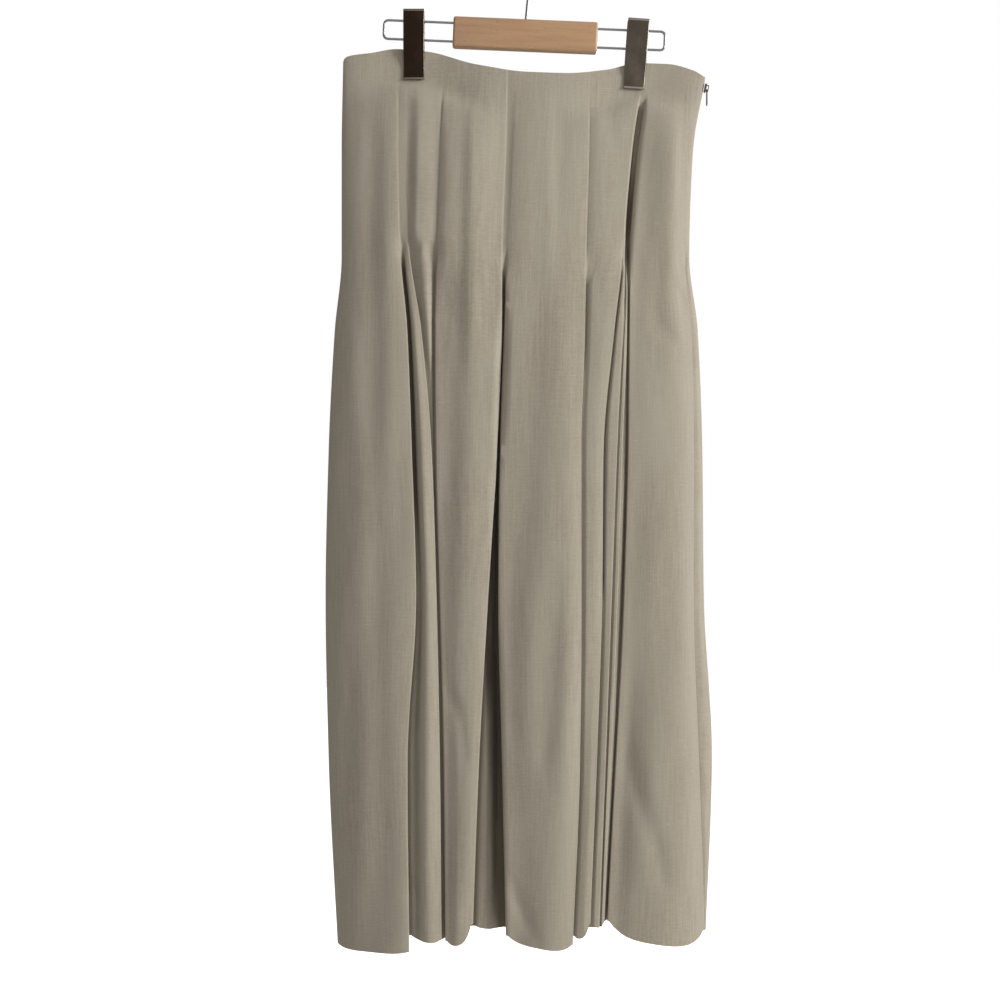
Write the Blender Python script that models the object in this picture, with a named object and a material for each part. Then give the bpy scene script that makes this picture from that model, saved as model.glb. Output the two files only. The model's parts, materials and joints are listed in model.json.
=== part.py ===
# Long pleated skirt held by its waist on a two-clip hanger, front towards -Y
import math

import bmesh
import bpy
import numpy as np
from mathutils import Matrix, Vector

for old in list(bpy.data.objects):
    bpy.data.objects.remove(old, do_unlink=True)

# The tables below are in millimetres, and MM turns them into metres
MM = 0.001
GAP = 0.3
WALL = 1.2
# Distance between two layers of a folded pleat, at the release and at the hem
LAYER_TOP = 1.9
LAYER_HEM = 3.2

# Heights at which the fold lines are given, as drops below the hook's bearing point
LEVELS = {"waist": 105, "yoke": 195, "release": 302, "thigh": 377, "knee": 496,
          "shin": 643, "calf": 798, "hem": 971}
HEM_DROP = 978
# The waist edge's sag fades out by this drop, and the hem's rise and fall starts at this one
SAG_END = 250
HEM_START = 735
SIDE_LIFTS = {"left": -8, "right": 7}
# Heights of the sections that the walls are built through
ROW_DROPS = (105, 136, 165, 210, 262, 284, 296, 308, 324, 350, 400, 470, 570, 690, 810, 910, 971)

# Waist edge, seen from the front: it hangs from the clips and sags between them
WAIST_EDGE = [
    # x, drop
    (-184, 103), (-156, 99), (-132, 94.5), (-100, 97), (-50, 111), (0, 118.5), (38, 119.6),
    (80, 115), (110, 108.5), (140, 109.5), (165, 116), (178, 123),
]
SIDES = {
    "left": (-184, -185.5, -185.5, -192.5, -198.5, -201.5, -198.5, -189.5),
    "right": (177.5, 165, 161.5, 170, 174.5, 176, 184, 178),
}

# Each row is one folded edge, with its x at each level.
# turn: "over" is a right-hand edge that lies over what follows, "under" a left-hand edge that
# lies over what comes before. tuck: how far its cloth reaches back underneath at the hem.
# rank: cloth layers its outer layer lies below the skirt's form, deep: layers from its outer to
# its innermost one, sink: what the innermost drops further at the hem. lift: how much its hem
# stands above the common hem line. opens: drop at which it is released.
FRONT_FOLDS = [
    # name, turn, waist, yoke, release, thigh, knee, shin, calf, hem, tuck, rank, deep, sink, lift, opens
    ("a_edge", "over", -129, -129, -126, -119.3, -113, -109.7, -118, -116, 14, 0, 2, 0, -5, 294),
    ("a_flap", "over", -123, -123, -116.8, -105.5, -95, -90, -86.5, -84.5, 11, 1, 2, 0, 4, 294),
    ("b_edge", "under", -82, -86.5, -90, -93.7, -92, -86.5, -83, -81, 8, 1, 2, 0, 3, 298),
    ("c_left", "over", -20, -22, -25.5, -26, -29.5, -37, -46, -53, 12, 0, 2, 18, 12, 309),
    ("c_right", "under", -12, -15, -20.5, -22.5, -26, -28, -25, -21, 3, 1, 2, 14, 4, 309),
    ("d_edge", "over", 61.5, 60.5, 57.3, 56, 52, 52, 50.4, 43, 14, 0, 2, 0, 1, 312),
    ("e_edge", "over", 114.5, 101, 94.5, 85, 74, 72.4, 67, 60, 5, 0.5, 2, 0, 12, 300),
    ("e_second", "over", 117.5, 104, 97.5, 93.5, 87.5, 82, 75.7, 69, 12, 2.5, 2, 0, 10, 300),
    ("e_third", "over", 120.5, 107, 100.5, 98, 93, 88, 81.5, 75, 12, 4.5, 2, 3, 10, 300),
    ("e_right", "under", 124, 110.5, 104, 101, 98, 97, 95, 86, 5, 0.5, 6, 3, 8, 300),
    ("side_edge", "over", 164, 158, 156, 162.6, 164.6, 164, 167, 168, 3, 0, 2, 2, -2, 302),
]
BACK_FOLDS = [
    # name, turn, waist, yoke, release, thigh, knee, shin, calf, hem, tuck, rank, deep, sink, lift, opens
    ("k_edge", "over", -118, -116, -114, -110, -106, -108, -112, -114, 14, 0, 2, 0, 2, 300),
    ("m_edge", "under", -66, -62, -60, -62, -64, -68, -70, -72, 12, 0, 2, 0, -2, 306),
    ("n_left", "over", -4, -6, -8, -9, -12, -18, -24, -28, 13, 0, 2, 8, 4, 304),
    ("n_right", "under", 4, 2, -1, -2, -4, -2, 2, 6, 8, 0, 2, 8, 0, 304),
    ("p_edge", "over", 62, 60, 60, 62, 66, 64, 62, 60, 13, 0, 2, 0, 3, 308),
    ("q_edge", "under", 116, 112, 108, 110, 114, 118, 120, 122, 12, 0, 2, 0, 0, 300),
]

# Valleys and ridges of the stitched-down yoke: a ridge has a negative depth
FRONT_YOKE = [
    # x at the waist, x at the release, depth, half width
    (-152, -153, 1.6, 9), (-131, -131, -1.5, 10), (-110, -110.5, 5, 9), (-85, -91, 2.6, 9),
    (-54, -56, 2.2, 9), (-16, -23, 3, 10), (23, 23, -1.4, 12), (61, 58, 2, 8),
    (119, 99.5, 13, 8.5), (148, 150, 1.5, 10),
]
BACK_YOKE = [
    # x at the waist, x at the release, depth, half width
    (-118, -114, 3, 9), (-92, -88, -1.2, 12), (-66, -60, 2.6, 9), (0, -5, 3.2, 9),
    (34, 30, -1.2, 14), (61, 60, 2.4, 9), (116, 108, 3, 9),
]

# Depth of the skirt's round form, front and back, at each level
FRONT_DEPTH = (8, 14, 20, 24, 29, 33, 40, 47)
BACK_DEPTH = (6, 12, 20, 25, 31, 36, 42, 48)
# How squarely the form rounds to its sides, and how far a panel swells between its edges
FORM_POWER = 4
PANEL_SWELL = 0.05
# A panel that is anywhere wider than this has more points
BROAD_PANEL = 34
# Width of a stitched seam, and of the strip beside an edge where what lies under it stays down
SEAM_WIDTH = 1.6
EDGE_CLEAR = 1.8
# Passes that even out a section where its folds are stitched
SOOTHING = 3
# Shares of a tuck's reach that it gains just below its release and over the whole length
TUCK_EARLY = 0.45
TUCK_LATE = 0.55
LEAST_TUCK = 1.2

# The hanger, in its own frame: origin at the middle of the bar, before it tilts
TILT = math.radians(2.4)
BAR_CENTRE = (-2.2, 80.6)
BAR = {"length": 144.5, "height": 30.5, "thick": 12, "corner": 2}
WIRE = 2.4
LOOP = {"pitch": 18.6, "left": -141.5, "right": 139.5, "bend": 5, "rise": 0.3}
# radius: inside of the bend; neck: length of the bend out of the stem; angles in degrees
HOOK = {"wire": 3, "radius": 19, "neck": 5, "offset": 0.6, "from": -78, "to": 215, "steps": 22}
CLIP = {"width": 21, "length": 70, "sheet": 1.2, "lip": 3, "spread": 5.2, "above": 20.5}
CLIPS = {"left": {"x": -113.5, "lean": -2.4}, "right": {"x": 109.7, "lean": 1.7}}
PINCH = 1.0
JAW_REACH = 36

# Concealed zip: chain behind the seam, then the slider and its pull outside, at its drop
ZIP_CHAIN = {"width": 5, "thick": 1.2, "length": 125, "start": 12, "inset": 2.4}
SLIDER = {"drop": 133, "long": 8.5, "wide": 5, "thick": 2, "crown": 0.8, "crown_wide": 1.4,
          "room": 1.6}
PULL = {"long": 16, "wide": 5, "thick": 0.9, "rim": 0.9, "hole": 4.2, "hole_wide": 2.6}


def material(name, colour, roughness, metallic=0.0):
    finish = bpy.data.materials.new(name)
    finish.use_nodes = True
    shader = finish.node_tree.nodes["Principled BSDF"]
    shader.inputs["Base Color"].default_value = (*colour, 1)
    shader.inputs["Roughness"].default_value = roughness
    shader.inputs["Metallic"].default_value = metallic
    return finish


def glide(knots, values, at):
    """A smooth curve through the values that never overshoots them."""
    knots, values = np.asarray(knots, float), np.asarray(values, float)
    span = np.diff(knots)
    slope = np.diff(values) / span
    lean = np.zeros(len(knots))
    lean[0], lean[-1] = slope[0], slope[-1]
    same = slope[:-1] * slope[1:] > 0
    lean[1:-1][same] = 2 * slope[:-1][same] * slope[1:][same] / (slope[:-1] + slope[1:])[same]
    cell = np.clip(np.searchsorted(knots, at) - 1, 0, len(span) - 1)
    t = np.clip((at - knots[cell]) / span[cell], 0, 1)
    width = span[cell]
    return (values[cell] * (1 + 2 * t) * (1 - t) ** 2 + values[cell + 1] * t * t * (3 - 2 * t)
            + width * t * (1 - t) * (lean[cell] * (1 - t) - lean[cell + 1] * t))


def ease(value, start, end):
    t = min(max((value - start) / (end - start), 0.0), 1.0)
    return t * t * (3 - 2 * t)


def at_level(values, drop):
    return float(glide(list(LEVELS.values()), values, drop))


def waist_drop(x):
    return float(glide([row[0] for row in WAIST_EDGE], [row[1] for row in WAIST_EDGE], x))


def form_depth(x, drop, depths):
    """Depth of the plain round form under the folds, zero at the side seams."""
    left, right = at_level(SIDES["left"], drop), at_level(SIDES["right"], drop)
    across = 2 * (x - left) / (right - left) - 1
    round_off = math.sqrt(max(1 - abs(across) ** FORM_POWER, 0.0))
    return at_level(depths, drop) * round_off


def yoke_depth(x, drop, depths, grooves):
    """Depth of the stitched-down yoke, with its seam valleys and ridges."""
    depth = form_depth(x, drop, depths)
    down = min(max((drop - LEVELS["waist"]) / (LEVELS["release"] - LEVELS["waist"]), 0), 1.3)
    deepen = ease(drop, LEVELS["waist"] - 8, LEVELS["yoke"])
    for at_waist, at_release, deep, half in grooves:
        away = abs(x - at_waist - (at_release - at_waist) * down) / half
        if away < 1:
            depth -= deep * deepen * (0.5 + 0.5 * math.cos(math.pi * away))
    return depth


def pinch(x, drop):
    """One where a clip presses the two walls together, falling to zero round it."""
    most = 0.0
    for clip in CLIPS.values():
        beside = 1 - ease(abs(x - clip["x"]), CLIP["width"] / 2 + 7, 46)
        below = 1 - ease(drop - waist_drop(x), JAW_REACH - 4, JAW_REACH + 26)
        most = max(most, beside * below)
    return most


def layer_step(drop):
    return LAYER_TOP + (LAYER_HEM - LAYER_TOP) * ease(drop, LEVELS["release"], LEVELS["hem"])


def fold_points(fold, drop, per_turn):
    """Open form of one folded edge: its outer and its hidden inner turn, as (x, offset)."""
    turn, edge = fold[1], at_level(fold[2:10], drop)
    tuck, rank, deep, sink, _, opens = fold[10:]
    grown = ease(drop, opens - 6, opens + 130)
    settled = ease(drop, LEVELS["release"], LEVELS["hem"])
    step = layer_step(drop)
    outer = -rank * step
    middle = outer - step
    inner = outer - deep * step - sink * settled
    deep_half = (middle - inner) / 2
    bend = max(step / 2, 0.6 * deep_half)
    reach = LEAST_TUCK + (tuck - LEAST_TUCK) * (TUCK_EARLY * grown + TUCK_LATE * settled)
    reach = max(reach, bend + GAP)
    way = 1 if turn == "over" else -1
    points = []
    for angle in np.linspace(math.pi / 2, -math.pi / 2, per_turn):
        points.append((edge - way * (step / 2) * (1 - math.cos(angle)),
                       (outer + middle) / 2 + math.sin(angle) * step / 2))
    for angle in np.linspace(math.pi / 2, -math.pi / 2, per_turn):
        points.append((edge - way * (reach + step / 2 - bend * (1 - math.cos(angle))),
                       (middle + inner) / 2 + math.sin(angle) * deep_half))
    return points if turn == "over" else points[::-1]


def wall_path(drop, folds, depths, grooves, per_turn, per_panel):
    """Plan path of one wall at a height, left side seam to right side seam, as (x, depth, lift)."""
    groups = []
    for fold in folds:
        edge, lift, opens = at_level(fold[2:10], drop), fold[14], fold[15]
        apart = ease(drop, opens - 4, opens + 22)
        sunk = ease(drop, opens - 18, opens + 4)
        opened = fold_points(fold, drop, per_turn)
        group = []
        for index, (x_open, offset) in enumerate(opened):
            x_shut = edge + SEAM_WIDTH * (index / (len(opened) - 1) - 0.5)
            x = x_shut + (x_open - x_shut) * apart
            shut = yoke_depth(x_shut, drop, depths, grooves)
            opened_depth = form_depth(x, drop, depths) + offset
            group.append((x, shut + (opened_depth - shut) * sunk, lift, sunk, apart))
        groups.append(group)
    sides = [at_level(SIDES[side], drop) for side in ("left", "right")]
    path = side_points(sides[0], groups[0][0], SIDE_LIFTS["left"], drop, depths, grooves,
                       per_panel)
    for number, group in enumerate(groups):
        path += [(x, depth, lift, 1 - apart) for x, depth, lift, _, apart in group]
        if number + 1 < len(groups):
            pair = folds[number], folds[number + 1]
            path += panel_points(pair, group[-1], groups[number + 1][0], drop, depths, grooves,
                                 per_panel)
    tail = side_points(sides[1], groups[-1][-1], SIDE_LIFTS["right"], drop, depths, grooves,
                       per_panel)
    return soothed(path + tail[::-1])


def soothed(path):
    """Evens out the path where the folds are still stitched shut or only just open."""
    for _ in range(SOOTHING):
        eased = [path[0]]
        for before, spot, after in zip(path, path[1:], path[2:]):
            loose = spot[3] / 2
            x, depth = (spot[k] + ((before[k] + after[k]) / 2 - spot[k]) * loose for k in (0, 1))
            eased.append((x, depth, spot[2], spot[3]))
        path = eased + [path[-1]]
    return [spot[:3] for spot in path]


def panel_points(pair, start, end, drop, depths, grooves, per_panel):
    """Points between two folds: the yoke's relief above, a swelling panel below."""
    left_edge, right_edge = (at_level(fold[2:10], drop) for fold in pair)
    first, last = start[0], end[0]
    middle = (left_edge + right_edge) / 2
    if pair[0][1] == "over":
        clear = min(left_edge + EDGE_CLEAR, middle - 2 if pair[1][1] == "under"
                    else (left_edge + end[0]) / 2)
        shut = start[0] + (end[0] - start[0]) * 0.2
        first = shut + (clear - shut) * start[4]
    if pair[1][1] == "under":
        clear = max(right_edge - EDGE_CLEAR, middle + 2)
        shut = end[0] - (end[0] - start[0]) * 0.2
        last = shut + (clear - shut) * end[4]
    broad = max(b - a for a, b in zip(pair[0][2:10], pair[1][2:10])) > BROAD_PANEL
    count = per_panel if broad else max(per_panel // 3, 1)
    sunk = (start[3] + end[3]) / 2
    start_offset = start[1] - form_depth(start[0], drop, depths)
    end_offset = end[1] - form_depth(end[0], drop, depths)
    stops = [0.0] * (first != start[0]) + [(k + 1) / (count + 1) for k in range(count)]
    stops += [1.0] * (last != end[0])
    points = []
    for t in stops:
        x = first + (last - first) * t
        if broad:
            level = start_offset + (end_offset - start_offset) * ease(t, 0, 1)
            risen = start_offset * (1 - ease(t, 0, 0.45)) + end_offset * ease(t, 0.55, 1)
            swell = PANEL_SWELL * ease(drop, LEVELS["release"], LEVELS["shin"])
            risen += (last - first) * swell * 4 * t * (1 - t)
            offset = level + (risen - level) * ease(last - first, 3, 14)
        else:
            offset = start_offset + (end_offset - start_offset) * ease(t, 0, 1)
        below = form_depth(x, drop, depths) + offset
        above = yoke_depth(x, drop, depths, grooves)
        lift = start[2] + (end[2] - start[2]) * t
        points.append((x, above + (below - above) * sunk, lift, 1 - (start[4] + end[4]) / 2))
    return points


def side_points(side, fold, side_lift, drop, depths, grooves, per_panel):
    """Points from a side seam round to the first or last fold."""
    points = []
    span = fold[0] - side
    steps = per_panel + (4 if abs(span) > 30 or side < 0 else 2)
    for index in range(steps):
        t = index / steps
        x = side + span * (1 - math.cos(t * math.pi / 2)) ** 1.15
        form = form_depth(x, drop, depths)
        above = max(yoke_depth(x, drop, depths, grooves), 0) if t > 0.4 else form
        offset = (fold[1] - form_depth(fold[0], drop, depths)) * ease(t, 0.55, 1)
        below = form + offset
        lift = side_lift + (fold[2] - side_lift) * t
        points.append((x, above + (below - above) * fold[3], lift, 0))
    return points


def wall_rows(folds, depths, grooves, facing, per_turn, per_panel):
    """Rows of wall middle points and their outward directions, waist edge to hem."""
    rows = []
    for drop in ROW_DROPS:
        path = wall_path(drop, folds, depths, grooves, per_turn, per_panel)
        points = []
        for x, depth, lift in path:
            below = real_drop(x, drop)
            hem_shift = (HEM_DROP - LEVELS["hem"] - lift) * ease(drop, HEM_START, LEVELS["hem"])
            held = pinch(x, below)
            depth += (PINCH - depth) * held
            depth = max(depth, PINCH * ease(min(x - path[0][0], path[-1][0] - x), 0, 2.0))
            points.append((x, depth, below + hem_shift))
        points[0] = (points[0][0], GAP / 2, points[0][2])
        points[-1] = (points[-1][0], GAP / 2, points[-1][2])
        rows.append([Vector((x, -facing * depth, -below)) * MM for x, depth, below in points])
    return rows


def plan_normals(row):
    normals = []
    for index, point in enumerate(row):
        before = row[max(index - 1, 0)]
        after = row[min(index + 1, len(row) - 1)]
        first, second = (point - before), (after - point)
        along = Vector((0, 0, 0))
        for part in (first, second):
            flat = Vector((part.x, part.y, 0))
            if flat.length > 0:
                along += flat.normalized()
        if index in (0, len(row) - 1):
            along = Vector((0, 1 if (index == 0) == (row[1].y > row[0].y) else -1, 0))
        along.normalize()
        normals.append(Vector((along.y, -along.x, 0)))
    return normals


def cloth_wall(name, rows, finish):
    """A closed wall of even thickness about the rows, edges closed square."""
    mesh = bmesh.new()
    half = WALL * MM / 2
    faces_of = []
    for side in (1, -1):
        grid = []
        for row in rows:
            normals = plan_normals(row)
            grid.append([mesh.verts.new(p + n * side * half) for p, n in zip(row, normals)])
        faces_of.append(grid)
    outer, inner = faces_of
    high, wide = len(rows), len(rows[0])
    for i in range(high - 1):
        for j in range(wide - 1):
            mesh.faces.new((outer[i][j], outer[i + 1][j], outer[i + 1][j + 1], outer[i][j + 1]))
            mesh.faces.new((inner[i][j], inner[i][j + 1], inner[i + 1][j + 1], inner[i + 1][j]))
    for j in range(wide - 1):
        for i, flip in ((0, False), (high - 1, True)):
            rim = [outer[i][j], outer[i][j + 1], inner[i][j + 1], inner[i][j]]
            mesh.faces.new(rim[::-1] if flip else rim)
    for i in range(high - 1):
        for j, flip in ((0, True), (wide - 1, False)):
            rim = [outer[i][j], outer[i + 1][j], inner[i + 1][j], inner[i][j]]
            mesh.faces.new(rim if not flip else rim[::-1])
    bmesh.ops.recalc_face_normals(mesh, faces=mesh.faces[:])
    return finished(name, mesh, finish)


def finished(name, mesh, finish, smooth=True):
    data = bpy.data.meshes.new(name)
    mesh.to_mesh(data)
    mesh.free()
    data.materials.append(finish)
    if smooth:
        data.shade_smooth()
        data.set_sharp_from_angle(angle=math.radians(35))
    piece = bpy.data.objects.new(name, data)
    bpy.context.scene.collection.objects.link(piece)
    return piece


def hanger_frame():
    """Empty at the bar's middle, tilted as the hanger hangs."""
    frame = bpy.data.objects.new("hanger_frame", None)
    bpy.context.scene.collection.objects.link(frame)
    frame.location = (BAR_CENTRE[0] * MM, 0, -BAR_CENTRE[1] * MM)
    frame.rotation_euler = (0, TILT, 0)
    return frame


def wire(name, points, diameter, finish, sides=2, parent=None):
    """Round wire along points given in millimetres."""
    curve = bpy.data.curves.new(name, "CURVE")
    curve.dimensions = "3D"
    curve.bevel_depth = diameter * MM / 2
    curve.bevel_resolution = sides
    curve.use_fill_caps = True
    line = curve.splines.new("POLY")
    line.points.add(len(points) - 1)
    for spot, (x, y, z) in zip(line.points, points):
        spot.co = (x * MM, y * MM, z * MM, 1)
    curve.materials.append(finish)
    piece = bpy.data.objects.new(name, curve)
    bpy.context.scene.collection.objects.link(piece)
    piece.parent = parent
    return piece


def rounded_corner(corner, before, after, radius, steps=4):
    """Points of a wire bend at a corner in the XZ plane."""
    corner, before, after = (Vector((p[0], 0, p[1])) for p in (corner, before, after))
    enter = corner + (before - corner).normalized() * radius
    leave = corner + (after - corner).normalized() * radius
    points = []
    for index in range(steps + 1):
        t = index / steps
        spot = enter * (1 - t) ** 2 + corner * 2 * t * (1 - t) + leave * t * t
        points.append((spot.x, 0, spot.z))
    return points


def hanger_bar(finish, frame):
    mesh = bmesh.new()
    bmesh.ops.create_cube(mesh, size=1)
    size = (BAR["length"] * MM, BAR["thick"] * MM, BAR["height"] * MM)
    bmesh.ops.scale(mesh, vec=size, verts=mesh.verts[:])
    bmesh.ops.bevel(mesh, geom=mesh.edges[:], offset=BAR["corner"] * MM, segments=2,
                    affect="EDGES", profile=0.5)
    piece = finished("hanger_bar", mesh, finish)
    piece.parent = frame
    return piece


def hanger_loops(finish, frame):
    """U-shaped wire at each end of the bar, seated 0.3 mm from the bar's end faces."""
    face = BAR["length"] / 2 + GAP
    half = LOOP["pitch"] / 2
    for name, end in (("left", LOOP["left"]), ("right", LOOP["right"])):
        near = math.copysign(face, end)
        top, low = (end, half + LOOP["rise"]), (end, -half + LOOP["rise"])
        points = [(near, 0, top[1])]
        points += rounded_corner(top, (near, top[1]), low, LOOP["bend"])
        points += rounded_corner(low, top, (near, low[1]), LOOP["bend"])
        points.append((near, 0, low[1]))
        wire("hanger_loop_" + name, points, WIRE, finish, 2, frame)


def hanger_hook(finish):
    """Swivel hook: a stem out of the bar, then round over the bearing point at the origin."""
    middle = -HOOK["radius"]
    points = []
    foot = Vector((BAR_CENTRE[0], -BAR_CENTRE[1]))
    up = Vector((math.sin(TILT), math.cos(TILT)))
    start = foot + up * (BAR["height"] / 2 + GAP)
    bend = HOOK["radius"] + HOOK["wire"] / 2
    stem_top = Vector((HOOK["offset"], middle - bend - HOOK["neck"]))
    for index in range(4):
        spot = start.lerp(stem_top, index / 3)
        points.append((spot.x, 0, spot.y))
    for angle in np.linspace(HOOK["from"], HOOK["to"], HOOK["steps"] + 1):
        turned = math.radians(angle)
        points.append((bend * math.cos(turned), 0, middle + bend * math.sin(turned)))
    wire("hanger_hook", points, HOOK["wire"], finish, 2)


def clip_jaw(name, facing, finish, frame):
    """Pressed steel jaw: a flat gripping end, a bend out over the wires and an upper lip."""
    half = CLIP["width"] / 2
    sheet = CLIP["sheet"]
    grip = PINCH + WALL / 2 + GAP
    out = grip + CLIP["spread"]
    bottom = CLIP["above"] - CLIP["length"]
    pivot = -LOOP["pitch"] / 2 + LOOP["rise"]
    profile = [(grip, bottom), (grip, bottom + 12), (out, pivot - 4), (out, CLIP["above"] - CLIP["lip"]),
               (out - 1.5, CLIP["above"])]
    mesh = bmesh.new()
    rings = []
    for x in (-half, half):
        inner = [mesh.verts.new((x * MM, -facing * d * MM, z * MM)) for d, z in profile]
        outer = [mesh.verts.new((x * MM, -facing * (d + sheet) * MM, z * MM)) for d, z in profile]
        rings.append((inner, outer))
    (inner_a, outer_a), (inner_b, outer_b) = rings
    for i in range(len(profile) - 1):
        mesh.faces.new((inner_a[i], inner_a[i + 1], inner_b[i + 1], inner_b[i]))
        mesh.faces.new((outer_a[i], outer_b[i], outer_b[i + 1], outer_a[i + 1]))
        mesh.faces.new((inner_a[i], outer_a[i], outer_a[i + 1], inner_a[i + 1]))
        mesh.faces.new((inner_b[i], inner_b[i + 1], outer_b[i + 1], outer_b[i]))
    for i in (0, len(profile) - 1):
        mesh.faces.new((inner_a[i], inner_b[i], outer_b[i], outer_a[i]))
    bmesh.ops.recalc_face_normals(mesh, faces=mesh.faces[:])
    piece = finished(name, mesh, finish, smooth=False)
    piece.parent = frame
    return piece


def clip_spring(name, finish, frame):
    """Coil spring round the lower wire, between the jaws, as a plain sleeve."""
    inside, outside = WIRE / 2 + GAP, PINCH + WALL / 2 + CLIP["spread"]
    long = CLIP["width"] - 5
    mesh = bmesh.new()
    rings = []
    sides = 20
    for radius, x in ((inside, -long / 2), (outside, -long / 2), (outside, long / 2), (inside, long / 2)):
        ring = []
        for index in range(sides):
            angle = 2 * math.pi * index / sides
            ring.append(mesh.verts.new((x * MM, radius * math.cos(angle) * MM,
                                        radius * math.sin(angle) * MM)))
        rings.append(ring)
    for a, b in zip(rings, rings[1:] + rings[:1]):
        for index in range(sides):
            after = (index + 1) % sides
            mesh.faces.new((a[index], a[after], b[after], b[index]))
    bmesh.ops.recalc_face_normals(mesh, faces=mesh.faces[:])
    piece = finished(name, mesh, finish)
    piece.parent = frame
    piece.location = (0, 0, (-LOOP["pitch"] / 2 + LOOP["rise"]) * MM)
    return piece


def clips(steel, spring_steel, frame):
    for side, clip in CLIPS.items():
        mount = bpy.data.objects.new("clip_frame_" + side, None)
        bpy.context.scene.collection.objects.link(mount)
        mount.parent = frame
        shift = clip["x"] - BAR_CENTRE[0]
        mount.location = (shift * MM, 0, 0)
        lean = bpy.data.objects.new("clip_lean_" + side, None)
        bpy.context.scene.collection.objects.link(lean)
        lean.parent = mount
        lean.rotation_euler = (0, math.radians(clip["lean"]), 0)
        clip_jaw(f"clip_{side}_front", 1, steel, lean)
        clip_jaw(f"clip_{side}_back", -1, steel, lean)
        clip_spring(f"clip_{side}_spring", spring_steel, mount)


def real_drop(x, drop):
    """Where a point of a level ends up once the waist edge has its sag."""
    return drop + (waist_drop(x) - LEVELS["waist"]) * (1 - ease(drop, LEVELS["waist"], SAG_END))


def side_x(drop):
    """x of the right side seam at a real drop."""
    low, high = LEVELS["waist"], LEVELS["hem"]
    for _ in range(30):
        middle = (low + high) / 2
        x = at_level(SIDES["right"], middle)
        low, high = (middle, high) if real_drop(x, middle) < drop else (low, middle)
    return x


def box_part(mesh, low, high):
    """Adds a box between two corners given in millimetres."""
    made = bmesh.ops.create_cube(mesh, size=1)["verts"]
    size = [(b - a) * MM for a, b in zip(low, high)]
    middle = Vector([(a + b) / 2 * MM for a, b in zip(low, high)])
    bmesh.ops.scale(mesh, vec=size, verts=made)
    bmesh.ops.translate(mesh, vec=middle, verts=made)


def zip_chain(finish):
    """Closed teeth and tape edge behind the right side seam, 0.3 mm inside it."""
    mesh = bmesh.new()
    sections = []
    count = 9
    start = waist_drop(at_level(SIDES["right"], LEVELS["waist"])) + ZIP_CHAIN["start"]
    half = ZIP_CHAIN["thick"] / 2
    for index in range(count):
        drop = start + ZIP_CHAIN["length"] * index / (count - 1)
        outer = side_x(drop) - WALL / 2 - GAP - ZIP_CHAIN["inset"]
        inner = outer - ZIP_CHAIN["width"]
        corners = ((outer, -half), (outer, half), (inner, half), (inner, -half))
        sections.append([mesh.verts.new((x * MM, y * MM, -drop * MM)) for x, y in corners])
    for a, b in zip(sections, sections[1:]):
        for index in range(4):
            after = (index + 1) % 4
            mesh.faces.new((a[index], a[after], b[after], b[index]))
    mesh.faces.new(sections[0])
    mesh.faces.new(sections[-1])
    bmesh.ops.recalc_face_normals(mesh, faces=mesh.faces[:])
    finished("zip_chain", mesh, finish, smooth=False)


def zip_slider(finish, frame):
    """Slider body with the crown that the pull hangs from: outwards is +X in its frame."""
    long, wide, thick = SLIDER["long"] / 2, SLIDER["wide"] / 2, SLIDER["thick"]
    crown, half, room = SLIDER["crown"], SLIDER["crown_wide"] / 2, SLIDER["room"]
    body = bmesh.new()
    box_part(body, (0, -wide, -long), (thick, wide, long))
    bmesh.ops.bevel(body, geom=body.edges[:], offset=0.4 * MM, segments=2, affect="EDGES")
    piece = finished("zip_slider", body, finish)
    piece.parent = frame
    outline = [(thick - 0.3, -long + 1), (thick + room + crown, -long + 1),
               (thick + room + crown, long - 1), (thick - 0.3, long - 1),
               (thick - 0.3, long - 1 - crown), (thick + room, long - 1 - crown),
               (thick + room, -long + 1 + crown), (thick - 0.3, -long + 1 + crown)]
    arch = bmesh.new()
    rings = [[arch.verts.new((x * MM, y * MM, z * MM)) for x, z in outline] for y in (-half, half)]
    arch.faces.new(rings[0])
    arch.faces.new(rings[1])
    for index in range(len(outline)):
        after = (index + 1) % len(outline)
        arch.faces.new((rings[0][index], rings[0][after], rings[1][after], rings[1][index]))
    bmesh.ops.recalc_face_normals(arch, faces=arch.faces[:])
    cutter = finished("zip_crown_shape", arch, finish, smooth=False)
    cutter.parent = frame
    cutter.hide_render = True
    cutter.display_type = "WIRE"
    join = piece.modifiers.new("crown", "BOOLEAN")
    join.operation = "UNION"
    join.object = cutter


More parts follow.
